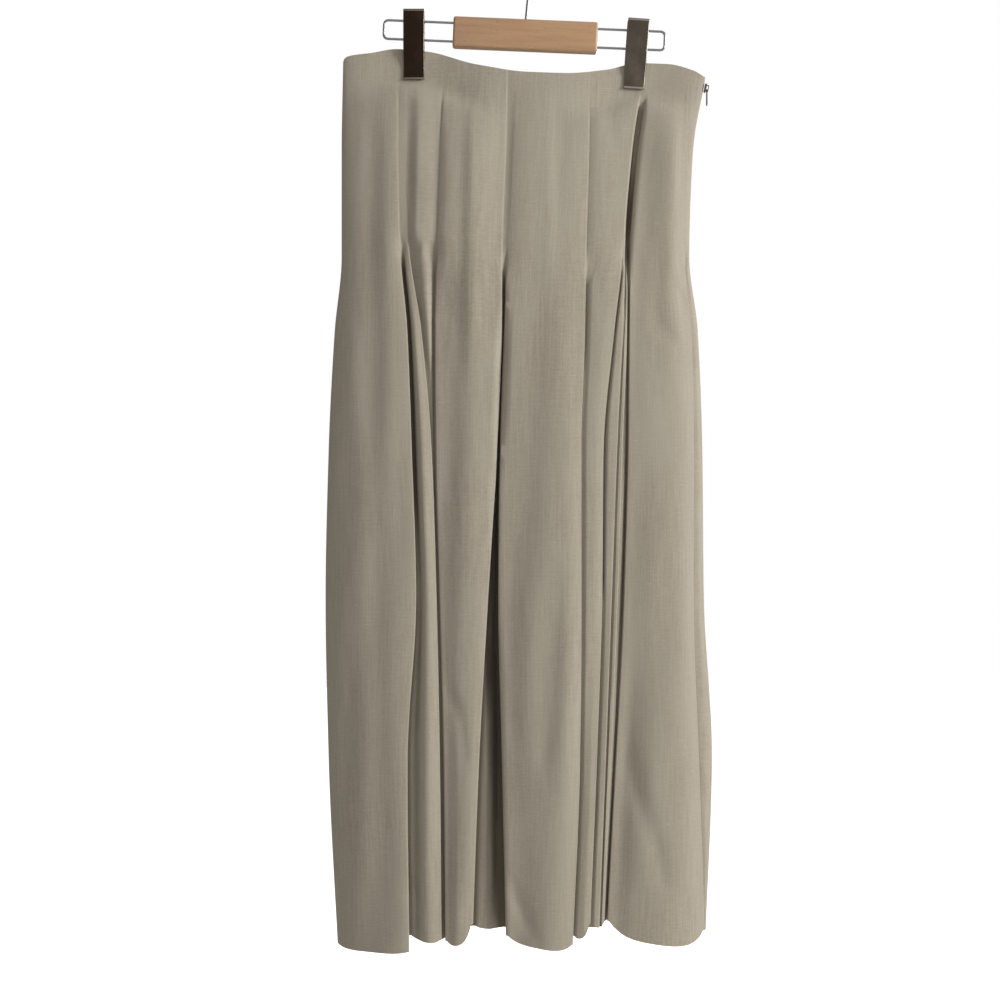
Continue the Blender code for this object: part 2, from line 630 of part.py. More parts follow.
def zip_pull(finish, pivot):
    """Drop-shaped tab with a slot over the crown; its origin is the middle of its upper rim."""
    rim, slot, half_slot = PULL["rim"] / 2, PULL["hole"], PULL["hole_wide"] / 2
    wide, long = PULL["wide"] / 2, PULL["long"]
    outer = [(-wide * 0.8, rim), (wide * 0.8, rim), (wide * 0.86, -slot)]
    steps = 8
    for index in range(steps + 1):
        angle = math.pi * index / steps
        outer.append((wide * math.cos(angle), -(long - wide) - wide * math.sin(angle)))
    outer.append((-wide * 0.86, -slot))
    inner = [(-half_slot, -rim), (half_slot, -rim), (half_slot, -slot), (-half_slot, -slot)]
    mesh = bmesh.new()
    half = PULL["thick"] / 2
    for x in (-half, half):
        loops = []
        for outline in (outer, inner):
            verts = [mesh.verts.new((x * MM, y * MM, z * MM)) for y, z in outline]
            loops += [mesh.edges.new((a, b)) for a, b in zip(verts, verts[1:] + verts[:1])]
        bmesh.ops.triangle_fill(mesh, use_beauty=True, edges=loops)
    mesh.verts.ensure_lookup_table()
    count = len(outer) + len(inner)
    for start, size in ((0, len(outer)), (len(outer), len(inner))):
        for index in range(size):
            a, b = start + index, start + (index + 1) % size
            mesh.faces.new([mesh.verts[k] for k in (a, b, b + count, a + count)])
    bmesh.ops.recalc_face_normals(mesh, faces=mesh.faces[:])
    piece = finished("zip_pull", mesh, finish, smooth=False)
    piece.location = pivot


def zip_pieces(tape, metal):
    zip_chain(tape)
    top, low = SLIDER["drop"] - SLIDER["long"] / 2, SLIDER["drop"] + SLIDER["long"] / 2
    slope = math.atan2(side_x(top) - side_x(low), SLIDER["long"])
    frame = bpy.data.objects.new("zip_frame", None)
    bpy.context.scene.collection.objects.link(frame)
    stand_off = WALL / 2 + GAP + 0.1
    frame.location = ((side_x(SLIDER["drop"]) + stand_off) * MM, 0, -SLIDER["drop"] * MM)
    frame.rotation_euler = (0, slope, 0)
    zip_slider(metal, frame)
    hang = SLIDER["long"] / 2 - 1 - SLIDER["crown"] - GAP - PULL["rim"] * 0.7
    local = Vector((SLIDER["thick"] + SLIDER["room"] / 2, 0, -hang)) * MM
    zip_pull(metal, frame.location + Matrix.Rotation(slope, 3, "Y") @ local)


def build():
    cloth_front = material("linen_cloth", (0.33, 0.29, 0.23), 0.85)
    cloth_back = material("linen_cloth_back", (0.30, 0.26, 0.21), 0.85)
    beech = material("beech", (0.42, 0.24, 0.12), 0.5)
    plated = material("plated_wire", (0.45, 0.45, 0.46), 0.3, 1.0)
    enamel = material("dark_enamelled_steel", (0.03, 0.022, 0.015), 0.4, 0.3)
    tape = material("zip_tape", (0.30, 0.27, 0.22), 0.8)
    cloth_wall("skirt_front", wall_rows(FRONT_FOLDS, FRONT_DEPTH, FRONT_YOKE, 1, 3, 3), cloth_front)
    cloth_wall("skirt_back", wall_rows(BACK_FOLDS, BACK_DEPTH, BACK_YOKE, -1, 3, 3), cloth_back)
    frame = hanger_frame()
    hanger_bar(beech, frame)
    hanger_loops(plated, frame)
    hanger_hook(plated)
    clips(enamel, plated, frame)
    zip_pieces(tape, plated)


build()
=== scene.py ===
# Long pleated linen skirt hung by its waist from a two-clip hanger: the looks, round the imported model
import json
import math

import bmesh
import bpy
import numpy as np
from mathutils import Matrix, Vector

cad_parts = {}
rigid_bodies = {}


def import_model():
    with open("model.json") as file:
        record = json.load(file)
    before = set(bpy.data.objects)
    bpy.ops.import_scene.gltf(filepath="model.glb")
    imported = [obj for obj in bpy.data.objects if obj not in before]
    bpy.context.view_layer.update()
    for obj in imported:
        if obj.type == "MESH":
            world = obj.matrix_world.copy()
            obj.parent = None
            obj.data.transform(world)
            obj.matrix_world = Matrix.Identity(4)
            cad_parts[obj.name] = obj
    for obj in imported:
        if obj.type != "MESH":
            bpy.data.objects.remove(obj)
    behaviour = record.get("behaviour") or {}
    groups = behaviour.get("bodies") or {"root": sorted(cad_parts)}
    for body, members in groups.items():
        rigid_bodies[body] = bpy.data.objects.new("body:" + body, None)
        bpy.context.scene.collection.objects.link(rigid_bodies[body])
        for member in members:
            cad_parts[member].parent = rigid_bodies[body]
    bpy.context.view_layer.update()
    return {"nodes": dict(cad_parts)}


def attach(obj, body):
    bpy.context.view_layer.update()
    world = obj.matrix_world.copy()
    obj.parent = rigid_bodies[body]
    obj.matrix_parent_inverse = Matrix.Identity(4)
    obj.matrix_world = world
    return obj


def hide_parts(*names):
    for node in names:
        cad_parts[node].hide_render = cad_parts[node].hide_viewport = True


for leftover in list(bpy.data.objects):
    bpy.data.objects.remove(leftover, do_unlink=True)
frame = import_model()
mm = 0.001
wavePeriod = 314.16      # a Wave Texture's scale for bands 1 mm apart
print("frame loaded:", len(frame["nodes"]), "nodes")


# Small helpers

def toLinear(hexColour):
    values = [int(hexColour[k:k + 2], 16) / 255 for k in (1, 3, 5)]
    return tuple(v / 12.92 if v <= 0.04045 else ((v + 0.055) / 1.055) ** 2.4 for v in values) + (1.0,)


def addNode(tree, kind, settings=None, links=None):
    made = tree.nodes.new(kind)
    for key, value in (settings or {}).items():
        if isinstance(key, int) or key in made.inputs:
            made.inputs[key].default_value = value
        else:
            setattr(made, key, value)
    for key, source in (links or {}).items():      # a node stands for its first output
        tree.links.new(getattr(source, "outputs", [source])[0], made.inputs[key])
    return made


def newFinish(name, colour, settings):
    finish = bpy.data.materials.new(name)
    finish.use_nodes = True
    shader = finish.node_tree.nodes["Principled BSDF"]
    for key, value in {"Base Color": toLinear(colour), **settings}.items():
        shader.inputs[key].default_value = value
    return finish, finish.node_tree, shader


def keepPiece(name, mesh, finish, replaced):
    # A finished mesh becomes a piece at the origin, in the place of its CAD nodes
    mesh.name = name
    if finish is not None:
        mesh.materials.clear()
        mesh.materials.append(finish)
    piece = bpy.data.objects.new(name, mesh)
    bpy.context.scene.collection.objects.link(piece)
    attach(piece, "root")
    if replaced:
        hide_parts(*replaced)
    return piece


def meshFrom(build, sharpDegrees):
    mesh = bpy.data.meshes.new("mesh")
    build.to_mesh(mesh)
    build.free()
    mesh.shade_smooth()
    mesh.set_sharp_from_angle(angle=math.radians(sharpDegrees))
    return mesh


def skinRings(build, rings):
    # Closed skin over a row of equal rings, with its two ends
    for low, high in zip(rings, rings[1:]):
        for k in range(len(low)):
            after = (k + 1) % len(low)
            build.faces.new((low[k], low[after], high[after], high[k]))
    build.faces.new(rings[0])
    build.faces.new(rings[-1])
    bmesh.ops.recalc_face_normals(build, faces=build.faces[:])


def ease(value, start, end):
    t = np.clip((value - start) / (end - start), 0.0, 1.0)
    return t * t * (3 - 2 * t)


def glide(knots, values, at):
    # Smooth curve through the values that never overshoots them
    knots, values, at = np.asarray(knots, float), np.asarray(values, float), np.asarray(at, float)
    span = np.diff(knots)
    slope = np.diff(values) / span
    lean = np.zeros(len(knots))
    lean[0], lean[-1] = slope[0], slope[-1]
    same = slope[:-1] * slope[1:] > 0
    lean[1:-1][same] = 2 * slope[:-1][same] * slope[1:][same] / (slope[:-1] + slope[1:])[same]
    cell = np.clip(np.searchsorted(knots, at) - 1, 0, len(span) - 1)
    t = np.clip((at - knots[cell]) / span[cell], 0, 1)
    return (values[cell] * (1 + 2 * t) * (1 - t) ** 2 + values[cell + 1] * t * t * (3 - 2 * t)
            + span[cell] * t * (1 - t) * (lean[cell] * (1 - t) - lean[cell + 1] * t))


# Camera, light and floor

camera = {"place": (-0.0275, -1.6, -0.545), "lens": 57.6, "sensor": 36}
studio = {
    "floorDrop": 1.55, "floorWide": 14, "floorTone": "#f4f3f0", "backdrop": 1.0, "fill": 0.22,
    # name: place, aim, size, power
    "lights": {
        "keyRight": ((1.9, -0.9, 0.2), (0.0, 0.0, -0.5), 0.8, 46),
        "softFront": ((-0.4, -2.3, 0.1), (0.0, 0.0, -0.5), 2.2, 8.4),
        "topSoft": ((0.3, -0.6, 1.3), (0.0, 0.0, -0.4), 1.6, 5),
        "keyBehind": ((0.9, 1.9, 0.3), (0.0, 0.0, -0.5), 1.2, 36),
    },
}


def makeStudio():
    scene = bpy.context.scene
    eye = bpy.data.objects.new("camera", bpy.data.cameras.new("camera"))
    eye.data.lens, eye.data.sensor_width = camera["lens"], camera["sensor"]
    eye.location = camera["place"]
    eye.rotation_euler = (math.radians(90), 0, 0)
    scene.collection.objects.link(eye)
    scene.camera = eye
    scene.view_settings.view_transform = "Standard"

    for name, (place, aim, size, power) in studio["lights"].items():
        lamp = bpy.data.lights.new(name, "AREA")
        lamp.shape, lamp.size, lamp.energy = "DISK", size, power
        holder = bpy.data.objects.new(name, lamp)
        turn = (Vector(aim) - Vector(place)).to_track_quat("-Z", "Y")
        holder.matrix_world = Matrix.Translation(place) @ turn.to_matrix().to_4x4()
        scene.collection.objects.link(holder)

    world = bpy.data.worlds.new("studio")
    scene.world = world
    world.use_nodes = True
    tree = world.node_tree
    tree.nodes.clear()
    path = addNode(tree, "ShaderNodeLightPath")
    soft = addNode(tree, "ShaderNodeBackground", {"Strength": studio["fill"], "Color": (1, 1, 1, 1)})
    white = addNode(tree, "ShaderNodeBackground", {"Strength": studio["backdrop"], "Color": (1, 1, 1, 1)})
    both = addNode(tree, "ShaderNodeMixShader", {}, {
        0: path.outputs["Is Camera Ray"], 1: soft, 2: white})
    addNode(tree, "ShaderNodeOutputWorld", {}, {"Surface": both})

    # Pale floor, lifted to the backdrop's white so that the two meet without an edge
    half, low = studio["floorWide"] / 2, -studio["floorDrop"]
    mesh = bpy.data.meshes.new("floor")
    mesh.from_pydata([(-half, -half, low), (half, -half, low), (half, half, low), (-half, half, low)],
                     [], [(0, 1, 2, 3)])
    floor = bpy.data.objects.new("floor", mesh)
    scene.collection.objects.link(floor)
    paint, tree, shader = newFinish("matt white studio floor", studio["floorTone"], {
        "Roughness": 0.9, "Emission Color": (1, 1, 1, 1)})
    path = addNode(tree, "ShaderNodeLightPath")
    tree.links.new(path.outputs["Is Camera Ray"], shader.inputs["Emission Strength"])
    mesh.materials.append(paint)


makeStudio()
print("studio ready")


# Materials

def patternAt(tree, source, sizesMm, span, noise, reach=(0, 1), shift=(0, 0, 0)):
    # Noise whose patches have the given sizes in millimetres, taken from one span of values to another
    scaled = addNode(tree, "ShaderNodeMapping", {
        "Scale": tuple(1000 / size for size in sizesMm), "Location": shift}, {"Vector": source})
    made = addNode(tree, "ShaderNodeTexNoise", {"Scale": 1.0, **noise}, {"Vector": scaled})
    return addNode(tree, "ShaderNodeMapRange", {
        "From Min": span[0], "From Max": span[1], "To Min": reach[0], "To Max": reach[1]},
        {"Value": made})


linen = {
    "warp": "#a99f8f", "shade": "#998f7f", "slub": "#b0a797", "tint": "#a29b8b",
    "threadMm": 1.3,         # real threads lie about 0.5 mm apart: drawn coarser so that they show
    # Patterns: size across and down in mm, span of the noise, detail, offset
    "down": ((2.1, 42), (0.3, 0.7), 2, 0), "across": ((16, 1.8), (0.05, 0.95), 2, 4),
    "grain": ((1.9, 1.9), (-0.1, 0.9), 1, 9), "slubs": ((12, 1.3), (0.72, 0.88), 1, 7),
    "patches": ((60, 130), (0.35, 0.68), 3, 3), "tintShare": 0.5, "slubShare": 0.7,
    # Weave relief; then the tone of the shade painted deep inside the folds, and the most of it that is mixed
    # in
    "reliefMm": 0.10, "paintedFoldShadeTone": "#4a3d2c", "paintedFoldShadeMost": 0.78,
}


def linenFinish(name, shift=0.0):
    # Plain-woven linen: dry and matt, its uneven yarns show as faint streaks down and across
    finish, tree, shader = newFinish(name, linen["warp"], {
        "Roughness": 0.88, "IOR": 1.46, "Sheen Weight": 0.12, "Sheen Roughness": 0.5})
    uv = addNode(tree, "ShaderNodeUVMap", {"uv_map": "clothMap"})

    patterns = {}
    for key in ("down", "across", "grain", "slubs", "patches"):
        sizes, span, detail, offset = linen[key]
        patterns[key] = patternAt(tree, uv, (*sizes, 1000), span, {
            "noise_dimensions": "2D", "Detail": detail, "Roughness": 0.55}, shift=(offset + shift, offset, 0))
    both = addNode(tree, "ShaderNodeMath", {"operation": "ADD"}, {
        0: patterns["down"], 1: patterns["across"]})
    yarns = addNode(tree, "ShaderNodeMath", {"operation": "MULTIPLY"}, {0: both, 1: patterns["grain"]})
    colour = addNode(tree, "ShaderNodeMix", {
        "data_type": "RGBA", 6: toLinear(linen["warp"]), 7: toLinear(linen["shade"])}, {0: yarns})

    # Slubs are paler and large patches differ a little; deep inside the folds a darker, browner tone is
    # painted in as shade
    paintedFoldShade = addNode(tree, "ShaderNodeAttribute", {"attribute_name": "paintedFoldShade"}).outputs["Fac"]
    layers = ((patterns["patches"], "tintShare", "tint"), (patterns["slubs"], "slubShare", "slub"),
              (paintedFoldShade, "paintedFoldShadeMost", "paintedFoldShadeTone"))
    for share, most, tone in layers:
        part = addNode(tree, "ShaderNodeMath", {"operation": "MULTIPLY", 1: linen[most]}, {0: share})
        colour = addNode(tree, "ShaderNodeMix", {"data_type": "RGBA", 7: toLinear(linen[tone])}, {
            0: part, 6: colour.outputs[2]})
    tree.links.new(colour.outputs[2], shader.inputs["Base Color"])

    threads = []
    for direction in ("X", "Y"):
        threads.append(addNode(tree, "ShaderNodeTexWave", {
            "bands_direction": direction, "Scale": wavePeriod / linen["threadMm"], "Distortion": 0.8,
            "Detail": 1.0, "Detail Scale": 0.6}, {"Vector": uv}).outputs[1])
    height = addNode(tree, "ShaderNodeMath", {"operation": "MULTIPLY"}, {0: threads[0], 1: threads[1]})
    for layer in (yarns, patterns["slubs"]):
        height = addNode(tree, "ShaderNodeMath", {"operation": "ADD"}, {0: height, 1: layer})
    bump = addNode(tree, "ShaderNodeBump", {"Strength": 0.7, "Distance": linen["reliefMm"] * mm},
                   {"Height": height})
    tree.links.new(bump.outputs[0], shader.inputs["Normal"])
    return finish


frontLinen = linenFinish("woven linen, front")
backLinen = linenFinish("woven linen, back", 11.0)


# The cloth: the same named folds as in the solids, read at many more heights and points

cloth = {
    "thick": 0.7, "hemTurn": 26, "hemThick": 0.6, "gap": 0.02,
    "layerTop": 1.9, "layerHem": 3.2, "hemDrop": 978, "sagEnd": 250, "hemStart": 735,
    "sideLifts": (-8, 7), "swell": 0.07, "swellSkew": 1.5, "formPower": 4, "broad": 31,
    "seamWide": 1.6, "edgeClear": 1.8, "tuckEarly": 0.45, "tuckLate": 0.55, "leastTuck": 1.2,
    "turnPoints": 7, "panelPoints": 16, "sidePoints": 16, "soothing": 14, "creaseAngle": 62,
    "shutShare": 0.2, "broadFrom": (3, 14), "endRises": (0.55, 1), "sideTurn": 1.15, "sideYoke": (0.2, 0.4),
    # Drops before and after a fold's release over which its tuck grows, its edges part, it leaves the
    # yoke, its seam's lap ends and the yoke's rolls start to fade
    "grows": (-6, 130), "parts": (-4, 22), "leaves": (-18, 4), "lapEnds": (-16, 2), "rollFades": -20,
    "lapReach": (5.0, 2.6),      # how far a lap shows on and beyond its edge
    "reliefDepth": (2, 9), "reliefSide": (4, 20),      # creases fade towards the waist and the seams
    # Drops at which the rows get closer or wider: from, to, step
    "rowSteps": ((105, 270, 6.2), (270, 345, 3.2), (345, 560, 6.2), (560, 930, 8.2), (930, 971, 4.6)),
}
levels = {"waist": 105, "yoke": 195, "release": 302, "thigh": 377, "knee": 496,
          "shin": 643, "calf": 798, "hem": 971}
waistEdge = [
    # x, drop
    (-184, 107), (-182.6, 103.8), (-178, 101.6), (-156, 98.6), (-132, 94.5), (-100, 97), (-50, 111),
    (0, 118.5), (38, 119.6), (80, 115), (110, 108.5), (140, 109.5), (165, 116), (178, 123),
]
# The left and the right side seam: x at each level
sides = ((-184, -185.5, -185.5, -192.5, -198.5, -201.5, -198.5, -189.5),
         (177.5, 165, 161.5, 170, 174.5, 176, 184, 178))
clipPlaces = {"left": {"x": -113.5, "lean": -2.4}, "right": {"x": 109.7, "lean": 1.7}}
clipGrip = {"hold": 1.0, "reach": 36, "wide": 21, "besideFade": (5, 84), "belowFade": (-4, 14)}
ripples = {"count": 7, "wide": (26, 62), "long": (260, 620), "sway": (4, 14), "swayLong": (90, 160),
           "high": 0.34, "atTop": 0.25}
# Shade in the folds: how far it reaches left and right of higher cloth, how fast that fades, and the
# depths at which it starts and is full
shade = {"left": 3.0, "right": 6.2, "fade": 2.5, "from": 3.2, "to": 9.2}

frontCloth = {
    "name": "skirtFront", "facing": 1, "seed": 5,
    "depths": (6.5, 13.5, 20, 24, 29, 33, 40, 47),
    # name, turn, waist, yoke, release, thigh, knee, shin, calf, hem, tuck, rank, deep, sink, lift, opens
    "folds": [
        ("aEdge", "over", -129, -129, -126, -119.3, -114.5, -110, -118, -116, 14, 0, 2, 0, -7, 294),
        ("aFlap", "over", -123, -123, -116.8, -105.5, -95, -90, -86.5, -84.5, 11, 0.7, 2, 0, 5, 294),
        ("bEdge", "under", -82, -86.5, -89.5, -91.3, -90.3, -86.5, -82.5, -80.5, 8, 1, 2, 0, 4, 298),
        ("cLeft", "over", -20, -22, -25.5, -26, -30.5, -39.5, -48, -54, 12, 0, 2, 7, 21, 309),
        ("cRight", "under", -12, -15, -20.5, -23.3, -27.2, -29, -25.5, -21.5, 3, 1, 2, 12, 9, 309),
        ("dEdge", "over", 61.5, 60.5, 57.3, 56, 52, 52, 50.4, 43, 14, 0, 2, 0, 1, 312),
        ("eEdge", "over", 112, 98.5, 93.5, 85, 74, 72.4, 67, 60, 5, 0.5, 2, 0, 21, 300),
        ("eSecond", "over", 114.6, 101.4, 96.6, 93.5, 87.5, 82, 75.7, 69, 12, 1.6, 2, 0, 17, 300),
        ("eThird", "over", 117.4, 104.2, 99.2, 98, 93, 88, 81.5, 74, 12, 2.6, 2, 0, 21, 300),
        ("eRight", "under", 124, 110.5, 102, 100.8, 99, 94.5, 86.5, 77.5, 5, 3.2, 3, 0, 22, 138),
        ("sideEdge", "over", 164, 158, 156, 162.6, 164.6, 164, 168.5, 175.5, 3, 0, 2, 2, 8, 302),
    ],
    # x at the waist, x at the release, depth, half width: a ridge has a negative depth
    "yoke": [(-85, -91, 2.2, 9), (-16, -23, 3, 10), (61, 58, 2, 8)],
    # Soft rolls of the yoke: x at the waist, x at the release, how far out, drop at which it has gone
    "rolls": [
        (-166, -166, 0.0, 400), (-156, -156, -0.7, 400), (-138, -139, 2.2, 400), (-117, -120, -1.4, 330),
        (-106, -110, 2.9, 330), (-91, -93, 1.7, 340), (-78, -80, 4.3, 360), (-66, -67, 3.9, 380),
        (-54, -56, 5.9, 470), (-22, -27, 1.4, 480), (17, 18, 1.3, 420), (33, 33, -0.5, 420),
        (56, 54, -0.9, 420), (66, 63, -1.2, 400), (104, 95, -3.6, 350), (116, 106, -5.2, 520),
        (148, 148, 3.2, 520), (166, 160, 0.0, 520),
    ],
    # Panels that differ, by the fold on their left: where they swell (0: flat) and where they rise from it
    "panels": {"aEdge": {"skew": 2.2, "rise": (0.12, 0.5)}, "cLeft": {"skew": 0}, "cRight": {"skew": 2.2},
               "eRight": {"skew": 3.0}},
    # How much each stitched pleat laps over its neighbour, at the waist and at its release
    "laps": {"aEdge": (0.3, 0.5), "aFlap": (0.0, 0.5), "bEdge": (0.3, 0.7), "cLeft": (0.35, 0.5),
             "dEdge": (0.45, 0.6)},
    # Folds that lie closer together than the rest
    "tight": {"eEdge": 0.62, "eSecond": 0.62, "eThird": 0.62, "eRight": 0.62, "dEdge": 0.45,
              "sideEdge": 0.5},
    # Folds that only sink below the others between two drops
    "sinks": {"eRight": (300, 560)},
    # Gaps beside a folded edge: fold, away from it, half width, depth, and the drops from which each
    # opens, is open, closes and is shut
    "gaps": [
        ("aEdge", 2.7, 1.7, 7, 290, 324, 500, 640), ("bEdge", -1.9, 1.1, 1.6, 296, 330, 538, 700),
        ("cLeft", 2.2, 1.7, 5, 306, 340, 578, 760), ("cRight", -2.2, 1.6, 6, 340, 420, 560, 700),
        ("cRight", -3.8, 3.2, 8, 490, 620, 760, 905), ("cRight", -6.5, 6, 7, 620, 720, 1400, 1500),
        ("dEdge", 1.6, 0.8, 2, 306, 340, 380, 430), ("eEdge", 1.6, 0.9, 2.5, 306, 340, 698, 960),
        ("eSecond", 1.5, 0.8, 2.5, 320, 354, 704, 960), ("eRight", -3.1, 3.1, 15, 108, 150, 247, 340),
        ("eRight", -1.4, 1.0, 3, 320, 354, 584, 760), ("eRight", 5.5, 10, 2.4, 660, 800, 1400, 1500),
    ],
    # How much higher the hem hangs inside a fold than at its edge
    "innerLifts": {"aEdge": 15, "cLeft": -5, "cRight": 3, "dEdge": 8, "bEdge": 3},
    # How far each panel's hem bows down between its folds, from the left side to the right side
    "bows": (2, 3, 1, 4, 2, 7, 2, 1, 1, 0, 15, 2),
    # Creases, listed one by one: x and drop at each end, half width, depth
    "creases": [
        (-174.5, 387, -163, 543, 9, -1.3), (-163, 543, -162, 760, 9, -1.2),
        (-152, 330, -150, 520, 9, 0.8), (-147, 560, -146, 900, 9, 0.8),
        (-78.5, 730, -66.5, 757, 5, 1.6), (-66.5, 757, -62, 800, 5, 1.2),
        (-75, 420, -73, 660, 9, 1.0), (-55, 330, -56, 560, 10, -0.9),
        (-21.5, 907, 8.5, 967, 6, 1.9), (-12.5, 757, -15.5, 777, 4, 1.2),
        (-53.5, 140, -57, 290, 4, -0.5), (20.8, 118, 22, 300, 4, -0.6),
        (-137, 290, -137, 560, 9, -1.8), (-136, 560, -126, 965, 9, -1.5),
        (-113, 335, -99, 620, 5, -1.1), (-99, 600, -97, 970, 7, -1.9), (-108, 610, -106, 970, 5, 0.8),
        (20.5, 763, 14.5, 805, 5, 1.2), (8, 320, 2, 620, 11, 1.0), (30, 330, 33, 520, 10, -0.8),
        (-2, 600, 2, 880, 10, -0.9), (28, 640, 26, 900, 9, 0.8),
        (41, 330, 40, 560, 9, -1.0), (40, 560, 34, 900, 9, -0.9), (66, 420, 62, 900, 6, 0.6),
        (125.5, 118, 139.5, 139, 4, 1.5), (134, 112, 150, 126, 4, 1.0),
        (146, 332, 160, 358, 7, 1.8), (131, 372, 146, 392, 6, 1.4),
        (131.5, 297, 125.5, 435, 9, 1.3), (150, 420, 148, 540, 8, 0.6),
        (98.5, 784, 110.5, 865, 6, 1.8), (107.5, 814, 128.5, 907, 7, 1.6), (120, 850, 137, 925, 6, 1.0),
        (158, 560, 159, 930, 8, -0.9),
        (170.5, 823, 184, 853, 4, 1.4), (-120, 905, -100, 940, 6, 1.0), (-180, 700, -176, 900, 8, 0.9),
        (-62, 935, -50, 960, 5, 0.8),
        (-40, 130, -38, 190, 9, -0.5), (80, 125, 84, 190, 7, 0.8),
    ],
}
backCloth = {
    "name": "skirtBack", "facing": -1, "seed": 11,
    "depths": (6, 12, 20, 25, 31, 36, 42, 48),
    "folds": [
        ("kEdge", "over", -118, -116, -114, -110, -106, -108, -112, -114, 14, 0, 2, 0, 2, 300),
        ("mEdge", "under", -66, -62, -60, -62, -64, -68, -70, -72, 12, 0, 2, 0, -2, 306),
        ("nLeft", "over", -4, -6, -8, -9, -12, -18, -24, -28, 13, 0, 2, 8, 4, 304),
        ("nRight", "under", 4, 2, -1, -2, -4, -2, 2, 6, 8, 0, 2, 8, 0, 304),
        ("pEdge", "over", 62, 60, 60, 62, 66, 64, 62, 60, 13, 0, 2, 0, 3, 308),
        ("qEdge", "under", 116, 112, 108, 110, 114, 118, 120, 122, 12, 0, 2, 0, 0, 300),
    ],
    "yoke": [
        (-118, -114, 3, 9), (-92, -88, -1.2, 12), (-66, -60, 2.6, 9), (0, -5, 3.2, 9),
        (34, 30, -1.2, 14), (61, 60, 2.4, 9), (116, 108, 3, 9),
    ],
    "laps": {"kEdge": (0.3, 0.5), "mEdge": (0.3, 0.6), "nLeft": (0.35, 0.5), "pEdge": (0.4, 0.6),
             "qEdge": (0.3, 0.6)},
    "rolls": [], "panels": {}, "tight": {}, "sinks": {},
    "gaps": [
        ("kEdge", 2.6, 1.8, 5, 296, 330, 502, 640), ("mEdge", -1.9, 1.2, 4, 300, 334, 540, 700),
        ("pEdge", 2.4, 1.4, 5, 304, 338, 494, 620), ("qEdge", -1.9, 1.2, 4, 298, 332, 599, 800),
        ("nLeft", 2, 1.4, 5, 302, 336, 457, 560),
    ],
    "innerLifts": {"kEdge": 9, "mEdge": 6, "pEdge": 8, "qEdge": 5},
    "bows": (5, 7, 6, 2, 8, 6, 9),
    "creases": [
        (-160, 350, -156, 560, 9, 1.3), (-150, 600, -146, 900, 10, -1.2), (-90, 330, -88, 560, 9, -1.0),
        (-92, 640, -95, 900, 9, 1.1), (-40, 330, -38, 620, 10, 1.0), (-46, 700, -60, 760, 6, 1.5),
        (30, 340, 34, 600, 10, -1.0), (36, 720, 22, 800, 7, 1.5), (88, 330, 90, 560, 9, 1.1),
        (92, 700, 84, 790, 7, 1.4), (140, 330, 146, 520, 9, 1.0), (150, 560, 156, 900, 9, -1.3),
        (130, 118, 146, 140, 5, 1.3), (-140, 120, -126, 142, 5, 1.2), (-100, 905, -82, 945, 6, 1.1),
        (100, 890, 122, 940, 6, 1.2), (0, 880, 20, 950, 7, 1.4), (-176, 330, -172, 420, 7, 1.2),
    ],
}


def atLevel(values, drop):
    return glide(list(levels.values()), values, drop)


def edgeDrop(x):
    return glide(*zip(*waistEdge), x)


def realDrop(x, drop):
    # The waist edge sags between the clips, and the sag fades out below
    return drop + (edgeDrop(x) - levels["waist"]) * (1 - ease(drop, levels["waist"], cloth["sagEnd"]))


def easeFrom(drop, opens, key):
    return ease(drop, opens + cloth[key][0], opens + cloth[key][1])


def sectionAt(piece, drop):
    return {"drop": drop, "left": atLevel(sides[0], drop), "right": atLevel(sides[1], drop),
            "depth": atLevel(piece["depths"], drop), "yoke": piece["yoke"], "panels": piece["panels"]}


def formDepth(section, x):
    across = 2 * (x - section["left"]) / (section["right"] - section["left"]) - 1
    return section["depth"] * math.sqrt(max(1 - abs(across) ** cloth["formPower"], 0.0))


def yokeDepth(section, x):
    drop = section["drop"]
    depth = formDepth(section, x)
    down = min(max((drop - levels["waist"]) / (levels["release"] - levels["waist"]), 0), 1.3)
    deepen = ease(drop, levels["waist"] - 8, levels["yoke"])
    for atWaist, atRelease, deep, half in section["yoke"]:
        away = abs(x - atWaist - (atRelease - atWaist) * down) / half
        if away < 1:
            depth -= deep * deepen * (0.5 + 0.5 * math.cos(math.pi * away))
    return depth


def foldPoints(fold, drop, tight, sinks):
    # Open form of one folded edge: its outer turn and its hidden inner turn, as (x, offset)
    edge = atLevel(fold[2:10], drop)
    tuck, rank, deep, sink, _, opens = fold[10:]
    grown, settled = easeFrom(drop, opens, "grows"), ease(drop, levels["release"], levels["hem"])
    step = (cloth["layerTop"] + (cloth["layerHem"] - cloth["layerTop"]) * settled) * tight
    outer = -rank * step * ease(drop, *sinks)
    middle, inner = outer - step, outer - deep * step - sink * settled
    deepHalf = (middle - inner) / 2
    bend = max(step / 2, 0.6 * deepHalf)
    reach = cloth["leastTuck"] + (tuck - cloth["leastTuck"]) * (
        cloth["tuckEarly"] * grown + cloth["tuckLate"] * settled)
    reach = max(reach, bend + 0.3)
    way = 1 if fold[1] == "over" else -1
    turns = np.linspace(math.pi / 2, -math.pi / 2, cloth["turnPoints"])
    points = [(edge - way * (step / 2) * (1 - math.cos(a)), (outer + middle) / 2 + math.sin(a) * step / 2)
              for a in turns]
    points += [(edge - way * (reach + step / 2 - bend * (1 - math.cos(a))),
                (middle + inner) / 2 + math.sin(a) * deepHalf) for a in turns]
    return points if way == 1 else points[::-1]


